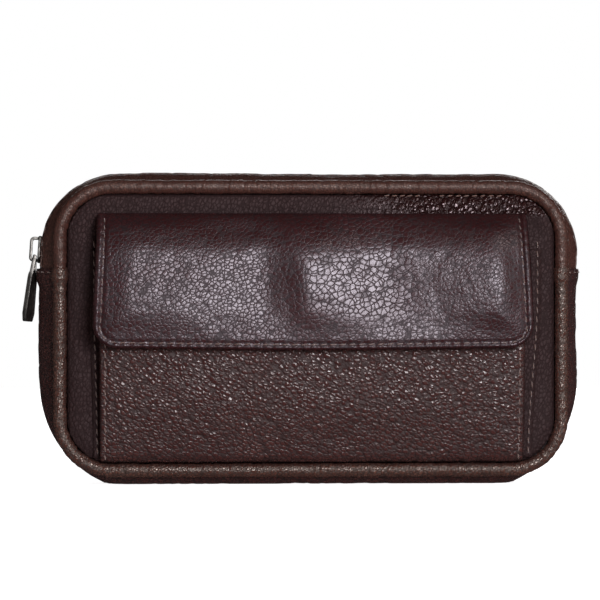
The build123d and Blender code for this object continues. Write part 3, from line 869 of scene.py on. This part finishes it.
def alongGusset(surface, side, y):
    # the gusset unrolled: x is the length along its edge, and up the distance from y
    def unrolled(along, up):
        x, z = onEdge(along, gussetEdge)
        return surface(x, y + side * up, z)
    return unrolled


gussetThreads = bmesh.new()
lowLength = gussetEdge["half"] - gussetEdge["foot"]
quarter = gussetEdge["foot"] * math.pi / 2
toLap = lowLength + quarter + seamZ - gussetEdge["low"] - gussetEdge["foot"]
halfway = 2 * lowLength + 2 * quarter + gussetEdge["high"] - gussetEdge["low"] - 2 * gussetEdge["foot"]
for side in (-1, 1):
    rowY = side * (slotY + gusset["rowInset"])
    for end in (-1, 1):
        row = [(end * (toLap + 1), 0), (end * (halfway - 0.1), 0)]
        sew(gussetThreads, alongGusset(stripSurface, side, rowY), row, outward=Vector((0, 0, midZ)))
lowerUnrolled = alongGusset(lowerSurface, 1, -gusset["halfDepth"])
for end in (-1, 1):
    lapEdge = end * (toLap - gusset["lapRow"])
    row = [(lapEdge, gusset["lapMargin"]), (lapEdge, 2 * gusset["halfDepth"] - gusset["lapMargin"])]
    sew(gussetThreads, lowerUnrolled, row, outward=Vector((0, 0, midZ)))
finishPiece("gussetStitching", gussetThreads, "bag", "thread", thread)
print("gusset made")


piping = {
    "segments": 16, "step": 0.55, "slack": 0.15, "lap": 0.40, "tuck": 3.0,
    "wrinkle": 0.24, "gather": 0.14, "pleat": 0.16, "cornerGather": 0.30,
}


def pipingPiece(name, side, over, material, slotName, node):
    mesh = bmesh.new()
    startZ = seamZ - piping["tuck"] if over else seamZ
    place = Matrix.Translation((-bodyLine["half"], side * abs(pipe["y"]), startZ))
    radius = pipe["radius"] - piping["slack"]
    bmesh.ops.create_circle(mesh, segments=piping["segments"], radius=radius, matrix=place)
    carryAround(mesh, list(mesh.edges), bodyLine, startZ, over, piping["step"])
    bmesh.ops.remove_doubles(mesh, verts=mesh.verts, dist=0.001)
    bmesh.ops.holes_fill(mesh, edges=[edge for edge in mesh.edges if edge.is_boundary])
    bmesh.ops.recalc_face_normals(mesh, faces=mesh.faces)
    mesh.normal_update()
    moves = []
    for vert in mesh.verts:
        depth, along = inEdge(vert.co.x, vert.co.z, bodyLine)
        centreX, centreZ = onEdge(along, bodyLine)
        section = vert.co.y * 0.25
        inCorner = softly(abs(centreX), bodyLine["half"] - 17, bodyLine["half"] - 8)
        inCorner *= softly(abs(centreZ - midZ), 33, 42)
        out = piping["wrinkle"] * waver(along, section, depth * 0.15, 1.15, side + 3)
        out += piping["gather"] * waver(along, section, depth * 0.1, 2.3, side + 5)
        out += 0.10 * waver(along, section, depth * 0.3, 6.0, side + 1)
        gathers = crease(along, section, depth * 0.12, 2.6, side + 9, 5)
        out -= (piping["pleat"] + piping["cornerGather"] * inCorner * softly(depth, -0.5, 2)) * gathers
        if not over:
            out += piping["lap"] * softly(vert.co.z, seamZ - 5.5, seamZ - 3.5)
        moves.append((vert, vert.normal * out))
    for vert, move in moves:
        vert.co += move
    return finishPiece(name, mesh, "bag", slotName, material, [node])


for side, name in ((-1, "front"), (1, "back")):
    pipingPiece(name + "PipingUpper", side, True, smoothLeather, "smooth_leather", name + "_piping_upper")
    pipingPiece(name + "PipingLower", side, False, pipingLeather, "grain_leather", name + "_piping_lower")
    cord = frame["nodes"][name + "_piping_cord"]
    cord.data.materials.clear()
    cord.data.materials.append(cordCotton)
print("piping made")


pocket = {
    "profile": [
        (-21.9, 8.3), (-24.0, 10.6), (-25.2, 14.0), (-26.6, 21.0),
        (-28.4, 34), (-29.3, 48), (-29.3, 66), (-28.9, 86),
    ],
    "step": 0.8,
    "wall": 1.1,
    "rowInset": 1.9,
    "rollWidth": 1.5,
    "roll": 0.9,
    "crown": 1.8,
}
washerLow, washerHigh = corners("snap_socket_washer")
snapZ = (washerLow.z + washerHigh.z) / 2
pocketProfile = Profile(pocket["profile"])
pocketHalf = pocketHigh.x


def pocketSurface(x, up, back=0.0):
    (y, z), (outY, outZ) = pocketProfile.at(up)
    toSide = pocketHalf - abs(x)
    toTop = pocketProfile.length - up
    middle = softly(toSide, 2, 24)
    out = pocket["crown"] * (1 - (x / pocketHalf) ** 2) * softly(up, 4, 24) * softly(toTop, 2, 30)
    out += 0.30 * middle * softly(toTop, 2, 30) * waver(x, 0, z, 26, 11)
    out *= 1 - hill(math.hypot(x, z - snapZ), 14)
    out += 0.14 * waver(x, 0, z, 7, 12) * softly(toSide, 2, 6)
    slanted = (x + 0.8 * z) * 0.75
    out -= 0.26 * crease(slanted, 0, (z - 0.8 * x) * 0.28, 8, 13, 7) * softly(toSide, 3, 8)
    out -= 0.16 * crease(slanted * 0.5, 5, (z - x) * 0.5, 6, 14, 8) * softly(toSide, 3, 8)
    out += 0.10 * waver(x * 0.2, 0, z, 2.2, 15) * (1 - softly(toSide, 2, 7))
    out -= 0.32 * hill(toSide - pocket["rowInset"], 0.65)
    out -= pocket["roll"] * (1 - softly(toSide, 0, pocket["rollWidth"])) ** 2
    out -= 0.4 * (1 - softly(up, 0, 3)) + 0.3 * (1 - softly(toTop, 0, 1.2))
    return Vector((x, y + outY * (out - back), z + outZ * (out - back)))


pocketMesh = flatSheet(2 * pocketHalf, pocketProfile.length, pocket["step"])
layOver(pocketMesh, pocketSurface)
finishPiece(
    "pocketFaceLeather", pocketMesh, "bag", "grain_leather", grainLeather, ["pocket_face"],
    wall=pocket["wall"], rimMaterial=edgePaint,
)
pocketThreads = bmesh.new()
for side in (-1, 1):
    rowX = side * (pocketHalf - pocket["rowInset"])
    sew(pocketThreads, pocketSurface, [(rowX, 1.0), (rowX, pocketProfile.length - 2)])
finishPiece("pocketStitching", pocketThreads, "bag", "thread", thread)

pocketCloth = {
    "half": 74.0, "low": 15.0, "high": 76.0, "back": 1.5, "wall": 0.4, "step": 1.5, "overWasher": 1.4,
}


def pocketClothSurface(x, up):
    # the cloth behind the leather, which passes over the washer of the snap
    up += pocketCloth["low"]
    z = pocketProfile.at(up)[0][1]
    toSnap = math.hypot(x, z - snapZ)
    bump = pocketCloth["overWasher"] * (1 - softly(toSnap, washerHigh.x + 0.5, washerHigh.x + 4))
    return pocketSurface(x, up, pocketCloth["back"] + bump + 0.15 * waver(x, 4, z, 9, 16))


clothWidth, clothHeight = 2 * pocketCloth["half"], pocketCloth["high"] - pocketCloth["low"]
pocketClothMesh = flatSheet(clothWidth, clothHeight, pocketCloth["step"])
layOver(pocketClothMesh, pocketClothSurface)
pocketLining = finishPiece(
    "pocketLiningCloth", pocketClothMesh, "bag", "lining_cloth", liningCloth, ["pocket_lining"],
    wall=pocketCloth["wall"],
)
print("pocket made")


bellows = {
    "fold": 5.0,
    "wall": 0.6,
    "low": 10,  # the strip's lower end
    "wide": 70,  # the height at which the flange is widest
    "flangeLeft": (79.4, 80.6),
    "flangeRight": (80.6, 84.0),
    "rowInset": 1.5,
    "rowLow": 11,
    "step": 1.2,
}


def flangeReach(flange, z):
    return flange[0] + softly(z, bellows["low"], bellows["wide"]) * (flange[1] - flange[0])


def bellowsPiece(name, side, flange, node):
    # one folded strip: a flange on the panel, in to the fold, and out to the back of the pocket's face
    low, high = corners(node)
    mesh = bmesh.new()
    outer = pocketHalf - 0.4
    section = []
    # of each point: how far out on the flange, how far in to the fold, and 1 behind the fold
    for step in range(4):
        section.append((1.0 - step / 3, 0.0, 0.0))
    for second in (0.0, 1.0):
        for step in range(1, 7):
            section.append((0.0, abs(second - step / 6), second))
    rows = round((high.z - bellows["low"]) / bellows["step"])
    # x holds the number of the section's point, to be replaced by its place
    for number in range(len(section)):
        mesh.verts.new((number, 0, bellows["low"]))
    mesh.verts.ensure_lookup_table()
    for number in range(len(section) - 1):
        mesh.edges.new((mesh.verts[number], mesh.verts[number + 1]))
    carry(mesh, list(mesh.edges), rows, Vector((0, 0, high.z + 1.0 - bellows["low"])))
    for vert in mesh.verts:
        out, inwards, second = section[round(vert.co.x)]
        z = vert.co.z
        flangeX = flangeReach(flange, z)
        faceY = pocketBack(z)
        panelY = -abs(panelLow.y) - 0.15
        middleY = (faceY + panelY) / 2
        fold = bellows["fold"] * softly(z, 8, 30) * (0.85 + 0.15 * waver(0, 0, z, 9, 21 + side))
        if out > 0:
            x = outer + (flangeX - outer) * out
            y = panelY - 0.45 - 0.15 * waver(0, x, z, 5, 22)
        else:
            x = outer - fold * math.sin(inwards * math.pi / 2)
            spread = math.cos(inwards * math.pi / 2)
            y = middleY + ((faceY if second else panelY) - middleY) * spread
            x += 0.25 * waver(0, y, z, 3, 23)
        vert.co = (side * x, y, z)
    facingOut(mesh, Vector((0, 60, 50)))
    finishPiece(name, mesh, "bag", "smooth_leather", panelLeather, [node], wall=bellows["wall"])


def pocketBack(z):
    # the pocket's back face at a height, a little inside the leather
    best = min(pocketProfile.line, key=lambda point: abs(point[1] - z))
    return best[0] + pocket["wall"] - 0.15


bellowsPiece("leftBellowsLeather", -1, bellows["flangeLeft"], "pocket_bellows_left")
bellowsPiece("rightBellowsLeather", 1, bellows["flangeRight"], "pocket_bellows_right")


def flangeSurface(x, up):
    return Vector((x, -abs(panelLow.y) - 0.62, up))


flangeThreads = bmesh.new()
for side, flange in ((-1, bellows["flangeLeft"]), (1, bellows["flangeRight"])):
    path = []
    for step in range(30):
        z = bellows["rowLow"] + step * 2.7
        path.append((side * (flangeReach(flange, z) - bellows["rowInset"]), z))
    sew(flangeThreads, flangeSurface, path)
finishPiece("bellowsStitching", flangeThreads, "bag", "thread", thread)
print("bellows made")


flap = {
    # from the seam on the panel, over the fold and down the front
    "profile": [(-20.15, 89.8), (-20.2, 94.8), (-20.9, 97.6), (-22.9, 98.9), (-25.8, 97.7), (-29.8, 92.8),
                (-33.0, 86.2), (-34.3, 78), (-35.2, 67), (-35.9, 50.3)],
    "step": 0.6,
    "wall": 1.25,
    "radius": 9.0,
    "rowInset": 2.0,
    "sideInset": 3.0,
    "groove": 0.55,
    "roll": 0.30,
    "bead": 1.0,
    "scallop": 0.16,
    "sag": 0.9,
    "front": (13, 21),  # where the front starts, along the leather from its seam
    "calmEdge": (1.5, 14),  # how far in from the edge the waves fade
    "middleZ": 73,  # the waves are strongest here
    "rowEnd": 13.6,
    "blendDepth": 2.6,
}
flapProfile = Profile(flap["profile"])
flapTopHalf = flapHigh.x - 1.4
flapShape = shape(flapHigh.x, 0, 400, flap["radius"])


flapWave = smoothLine([
    (-82, 0.4), (-75, 1.0), (-60, 0.75), (-40, 0.1), (-23, -0.8), (-15, -1.1), (-9, -0.5), (-2, 0.75),
    (4, 0.9), (14, 0.1), (25, -1.0), (32, -1.25), (45, -0.35), (58, 0.9), (70, 1.95), (77, 1.9), (82, 0.8),
])


def heightAt(line, x):
    # the height of a line of (x, height) at x
    for (before, low), (after, high) in zip(line, line[1:]):
        if x <= after:
            return low + (high - low) * (x - before) / (after - before)
    return line[-1][1]


def flapSwell(x, z, length, depth):
    # the soft waves of the front, across it, strongest at half its height
    onFront = softly(length, *flap["front"])
    inside = softly(depth, *flap["calmEdge"])
    strength = max(0.30 + 0.85 * hill(z - flap["middleZ"], 16), 0.95 - softly(x, -30, -8))
    swell = heightAt(flapWave, x + 2.5 + 0.16 * (z - 72)) * strength
    swell += 0.4 * hill(z - 62, 16) + 0.22 * waver(x, 0, z, 19, 31)
    return swell * onFront * inside


def flapPlace(x, up, out, back=0.0, calm=0.0):
    # up runs from the lower edge, over the front and the fold, to the seam on the panel
    length = flapProfile.length - up
    (y, z), (inY, inZ) = flapProfile.at(length)
    depth, along = inEdge(x, up, flapShape)
    narrow = flapTopHalf + (flapHigh.x - flapTopHalf) * softly(z, 98, 55)
    out += flapSwell(x, z, length, depth) * (1 - calm) - back
    sag = flap["sag"] * hill(x / 55, 1) * softly(length, 22, flapProfile.length)
    return Vector((x * narrow / flapHigh.x, y - inY * out, z - inZ * out - sag))


def rowInset(up):
    # the margin outside the stitches, wider at the sides than at the lower edge
    return flap["rowInset"] + (flap["sideInset"] - flap["rowInset"]) * softly(up, 2.5, 12)


def flapSurface(x, up):
    length = flapProfile.length - up
    depth, along = inEdge(x, up, flapShape)
    onFront = softly(length, *flap["front"])
    row = rowInset(up)
    out = 0.12 * waver(x, 0, up, 6, 32) * onFront
    out -= 0.05 * crease(x * 0.8, 2, up * 0.6, 12, 33, 8) * softly(depth, *flap["calmEdge"]) * onFront
    out -= flap["groove"] * hill(depth - row, 0.7) * softly(length, 10, 14)
    out += flap["roll"] * hill(depth - row * 0.55, 0.9) * softly(length, 10, 14)
    wave = math.cos(math.tau * along / stitch["pitch"])
    out += flap["scallop"] * wave * hill(depth - row * 0.75, 1.3) * onFront
    out -= flap["bead"] * (1 - min(depth, flap["bead"]) / flap["bead"]) ** 2 * softly(length, 3, 10)
    return flapPlace(x, up, out)


flapSheet = flatSheet(2 * flapHigh.x, flapProfile.length, flap["step"], flap["radius"])
layOver(flapSheet, flapSurface)
flapPiece = finishPiece(
    "flapLeather", flapSheet, None, "flap_leather", flapLeather, ["flap_outer", "flap_seam_tab"],
    wall=flap["wall"], rimMaterial=edgePaint,
)
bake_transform(flapPiece)

flapThreads = bmesh.new()
rowReach = flapHigh.x - flap["radius"] * (2 - math.pi / 2) + flapProfile.length - flap["rowEnd"]
halfCount = 200
path = []
for step in range(2 * halfCount + 1):
    along = rowReach * (step / halfCount - 1)
    path.append(onEdge(along, flapShape, rowInset(onEdge(along, flapShape)[1])))
sew(flapThreads, flapSurface, path)
finishPiece("flapStitching", flapThreads, "flap", "thread", thread)
print("flap made")


lining = {"setBack": 1.32, "inset": 0.5, "wall": 0.8, "step": 1.3, "start": 13.0}


def flapLiningSurface(x, up):
    # it follows the leather, but lies flat round the stud
    calm = hill(math.hypot(x, up + flapLow.z - snapZ), 13)
    return flapPlace(x, up + lining["inset"], 0.06 * waver(x, 0, up, 5, 41), lining["setBack"], calm)


liningSheet = flatSheet(
    2 * (flapHigh.x - lining["inset"]), flapProfile.length - lining["start"], lining["step"], flap["radius"]
)
layOver(liningSheet, flapLiningSurface)
finishPiece(
    "flapLiningLeather", liningSheet, "flap", "smooth_leather", smoothLeather, ["flap_lining"],
    wall=lining["wall"], rimMaterial=edgePaint,
)


metal = {"sharp": 35}


def metalPiece(name, node, body, slotName, material, bevel, reshape=None):
    # the CAD node with its sharp edges broken
    mesh = copyNode(node)
    if reshape:
        reshape(mesh)
    mesh.normal_update()
    sharp = [
        edge for edge in mesh.edges
        if len(edge.link_faces) == 2 and edge.calc_face_angle(0) > math.radians(metal["sharp"])
    ]
    bmesh.ops.bevel(
        mesh, geom=sharp, offset=bevel, offset_type="OFFSET", segments=2, profile=0.5, affect="EDGES",
        material=-1, clamp_overlap=True,
    )
    bmesh.ops.recalc_face_normals(mesh, faces=mesh.faces)
    return finishPiece(name, mesh, body, slotName, material, [node])


metalPiece("sliderBody", "slider_body", "zip_slider", "zip_metal", nickel, 0.12)
metalPiece("sliderBridge", "slider_bridge", "zip_slider", "zip_metal", nickel, 0.18)
pull = {"twist": 20.0, "start": 3.0, "end": 8.0}


def twistTag(mesh):
    # the tag is turned a little about its own length, below its eye
    pivot = Vector(joints["puller_swing"]["pos_m"]) / mm
    low = min(mesh.verts, key=lambda vert: vert.co.z).co
    down = Vector((low.x - pivot.x, 0, low.z - pivot.z)).normalized()
    bmesh.ops.bisect_plane(
        mesh, geom=[*mesh.verts, *mesh.edges, *mesh.faces], plane_co=pivot + down * pull["end"], plane_no=down
    )
    for vert in mesh.verts:
        along = (vert.co - pivot).dot(down)
        angle = math.radians(pull["twist"]) * softly(along, pull["start"], pull["end"])
        vert.co = pivot + Matrix.Rotation(angle, 3, down) @ (vert.co - pivot)


metalPiece("pullTab", "zip_puller", "zip_pull", "zip_metal", nickel, 0.22, twistTag)
metalPiece("snapSocket", "snap_socket", "bag", "snap_metal", nickel, 0.2)
metalPiece("snapStud", "snap_stud", "flap", "snap_metal", nickel, 0.2)
metalPiece("zipStops", "zip_stops", "bag", "zip_metal", nickel, 0.2)
metalPiece("socketWasher", "snap_socket_washer", "bag", "snap_metal", nickel, 0.06)
metalPiece("studWasher", "snap_stud_washer", "flap", "snap_metal", nickel, 0.06)
metalPiece("socketMagnet", "snap_magnet", "bag", "magnet", magnetGrey, 0.15)
metalPiece("frontZipTeeth", "zip_teeth_front", "bag", "zip_metal", nickel, 0.2)
metalPiece("backZipTeeth", "zip_teeth_back", "bag", "zip_metal", nickel, 0.2)
print("metal made")


tape = {"across": 7, "depth": 1.5, "wall": 0.5, "step": 1.6, "tuck": 5.0}
for side, name in ((-1, "front"), (1, "back")):
    gussetPiece(
        name + "ZipTape", True, side * tapeHigh.y, side * tapeLow.y, seamZ - tape["tuck"],
        gussetSurface(lapped=False, inset=tape["depth"], rough=0.12), tape["across"], tape["step"],
        body="bag", slotName="tape_cloth", material=tapeCloth, nodes=["zip_tape_" + name], wall=tape["wall"],
    )


compartment = {
    "back": 1.65, "inset": 0.5, "edgeInset": 0.4, "wall": 0.35, "step": 2.4, "depth": 2.5, "slot": 8.5,
    "across": 16,
}
for side, name in ((-1, "front"), (1, "back")):
    flat = (
        2 * (panelShape["half"] - compartment["inset"]),
        panelShape["high"] - panelShape["low"] - 2 * compartment["inset"],
    )
    mesh = flatSheet(*flat, compartment["step"], panelShape["top"] - compartment["inset"], tops=True)
    bmesh.ops.translate(mesh, verts=mesh.verts, vec=(0, 0, compartment["inset"]))
    layOver(mesh, panelSurface(side, compartment["back"]))
    if side > 0:
        bmesh.ops.reverse_faces(mesh, faces=mesh.faces)
    cloth = finishPiece(name + "Lining", mesh, "bag", "lining_cloth", liningCloth, [name + "_lining"],
                        wall=compartment["wall"])
    flat[0] * mm
    flat[1] * mm
    name + "PanelLeather"
edge = gusset["halfDepth"] - compartment["edgeInset"]
bands = {
    # name: (over the top, from y, to y, faces across, the node it stands for)
    "lowerGussetLining": (False, -edge, edge, compartment["across"], ["gusset_lining"]),
    "frontUpperLining": (True, -edge, -compartment["slot"], 4, []),
    "backUpperLining": (True, edge, compartment["slot"], 4, []),
}
liningSurface = gussetSurface(False, inset=compartment["depth"], rough=0.15)
for name, (over, startY, endY, across, nodes) in bands.items():
    band = gussetPiece(
        name, over, startY, endY, seamZ - tape["tuck"], liningSurface, across, compartment["step"],
        body="bag", slotName="lining_cloth", material=liningCloth, nodes=nodes, wall=compartment["wall"],
    )
    if not over:
        # the length of a straight band with its area and width, worked out here and not used further; the
        # upper two are too narrow for sheets
        area = sum(polygon.area for polygon in band.data.polygons)
        width = 2 * edge * mm
        area / width
print("linings made")


loop = {
    "profile": [(22.1, 20.0), (22.1, 31.0), (23.6, 34.0), (26.0, 37.2), (27.1, 41), (27.4, 57), (27.1, 74),
                (26.0, 79.5), (23.6, 82.2), (22.1, 85.0), (22.1, 96.0)],
    "step": 0.8,
    "wall": 1.9,
    "rowInset": 2.2,
    "boxes": ((1.8, 10.0), (66.5, 75.0)),
}
loopProfile = Profile(loop["profile"])
loopHalf = (loopHigh.x - loopLow.x) / 2


def loopSurface(centreX):
    def surface(x, up):
        (y, z), (outY, _) = loopProfile.at(up)
        toSide = loopHalf - abs(x)
        toEnd = min(up, loopProfile.length - up)
        out = 0.14 * waver(x + centreX, 0, z, 7, 51) - 0.5 * (1 - softly(min(toSide, toEnd), 0, 1.0)) ** 2
        inBox = 1 - softly(toEnd, 9.5, 12)
        out -= 0.30 * hill(min(abs(toSide - loop["rowInset"]), abs(toEnd - loop["rowInset"])), 0.6) * inBox
        return Vector((centreX - x, y + abs(outY) * out, z))
    return surface


loopThreads = bmesh.new()
for name in ("left", "right"):
    low, high = corners("belt_loop_" + name)
    surface = loopSurface((low.x + high.x) / 2)
    mesh = flatSheet(2 * loopHalf, loopProfile.length, loop["step"])
    layOver(mesh, surface)
    facingOut(mesh, Vector((0, -200, midZ)))
    finishPiece(
        name + "BeltLoopLeather", mesh, "bag", "grain_leather", grainLeather, ["belt_loop_" + name],
        wall=loop["wall"], rimMaterial=edgePaint,
    )
    width = loopHalf - loop["rowInset"]
    for start, end in loop["boxes"]:
        box = [(-width, start), (width, start), (width, end), (-width, end), (-width, start)]
        for first, last in zip(box, box[1:]):
            sew(loopThreads, surface, [first, last])
finishPiece("beltLoopStitching", loopThreads, "bag", "thread", thread)
print("belt loops made")


view = {
    "azimuth": -3.0,
    "distance": 1200.0,
    "across": 218.1,
    "aim": (-4.36, -21.7, 67.4),
    "film": 36.0,
    "near": 0.05,
    "far": 30.0,
}


def aimAt(thing, target):
    thing.rotation_mode = "QUATERNION"
    thing.rotation_quaternion = (target - thing.location).to_track_quat("-Z", "Y")


def studioCamera():
    data = bpy.data.cameras.new("camera")
    data.sensor_width = view["film"]
    data.lens = data.sensor_width * view["distance"] / view["across"]
    data.clip_start = view["near"]
    data.clip_end = view["far"]
    camera = bpy.data.objects.new("camera", data)
    bpy.context.scene.collection.objects.link(camera)
    angle = math.radians(view["azimuth"])
    target = Vector(view["aim"]) * mm
    camera.location = target + Vector((math.sin(angle), -math.cos(angle), 0)) * view["distance"] * mm
    aimAt(camera, target)
    bpy.context.scene.camera = camera


lights = {
    # name: (azimuth and height in degrees, metres away, width, height, watts, colour)
    "keySoftbox": (12, 13, 1.5, 0.46, 0.46, 24.0, (0.92, 0.93, 1.0)),
    "topRight": (34, 46, 1.5, 0.25, 0.25, 3.0, (1.0, 0.98, 0.95)),
    "rightFill": (66, 16, 1.4, 0.4, 0.8, 2.8, (1.0, 0.92, 0.88)),
    "leftFill": (-75, 12, 1.4, 0.4, 0.8, 0.8, (1.0, 0.95, 0.92)),
    "backFill": (172, 15, 1.7, 1.2, 0.6, 10.0, (1.0, 1.0, 1.0)),
}


def studioLights():
    middle = Vector((0, 0, midZ * mm))
    for name, (azimuth, rise, away, width, height, watts, tint) in lights.items():
        data = bpy.data.lights.new(name, "AREA")
        data.shape = "RECTANGLE"
        data.size = width
        data.size_y = height
        data.energy = watts
        data.color = tint
        lamp = bpy.data.objects.new(name, data)
        bpy.context.scene.collection.objects.link(lamp)
        turned = math.radians(azimuth)
        level = math.cos(math.radians(rise))
        way = Vector((math.sin(turned) * level, -math.cos(turned) * level, math.sin(math.radians(rise))))
        lamp.location = middle + way * away
        aimAt(lamp, middle)


room = {"floorHalf": 1.3, "floorGlow": 0.90, "floorShade": 0.90, "floorRough": 0.9, "sky": 0.97, "fill": 0.03}


def studioRoom():
    # a pale floor under a pale sky that lights the object only softly
    mesh = bmesh.new()
    bmesh.ops.create_grid(mesh, x_segments=2, y_segments=2, size=room["floorHalf"])
    bmesh.ops.translate(mesh, verts=mesh.verts, vec=(0, 0, -0.0002))
    data = bpy.data.meshes.new("floor")
    mesh.to_mesh(data)
    mesh.free()
    floor = bpy.data.objects.new("floor", data)
    bpy.context.scene.collection.objects.link(floor)
    material, place = startMaterial("palePaper")
    endMaterial(place, {
        "Base Color": colour(*[room["floorShade"]] * 3),
        "Roughness": room["floorRough"],
        "Emission Color": colour(1, 1, 1),
        "Emission Strength": room["floorGlow"],
    })
    data.materials.append(material)
    floor.visible_glossy = False
    world = bpy.data.worlds.new("studio")
    bpy.context.scene.world = world
    world.use_nodes = True
    world.node_tree.nodes.clear()
    start = Wire(world.node_tree, None)
    seen = start.node("LightPath", {}, {}, "Is Camera Ray")
    strength = seen * room["sky"] + room["fill"]
    sky = start.node("Background", {}, {"Color": colour(1, 1, 1), "Strength": strength})
    start.node("OutputWorld", {}, {"Surface": sky})


studioCamera()
studioLights()
studioRoom()
bpy.context.scene.view_settings.view_transform = "Standard"
print("studio made")
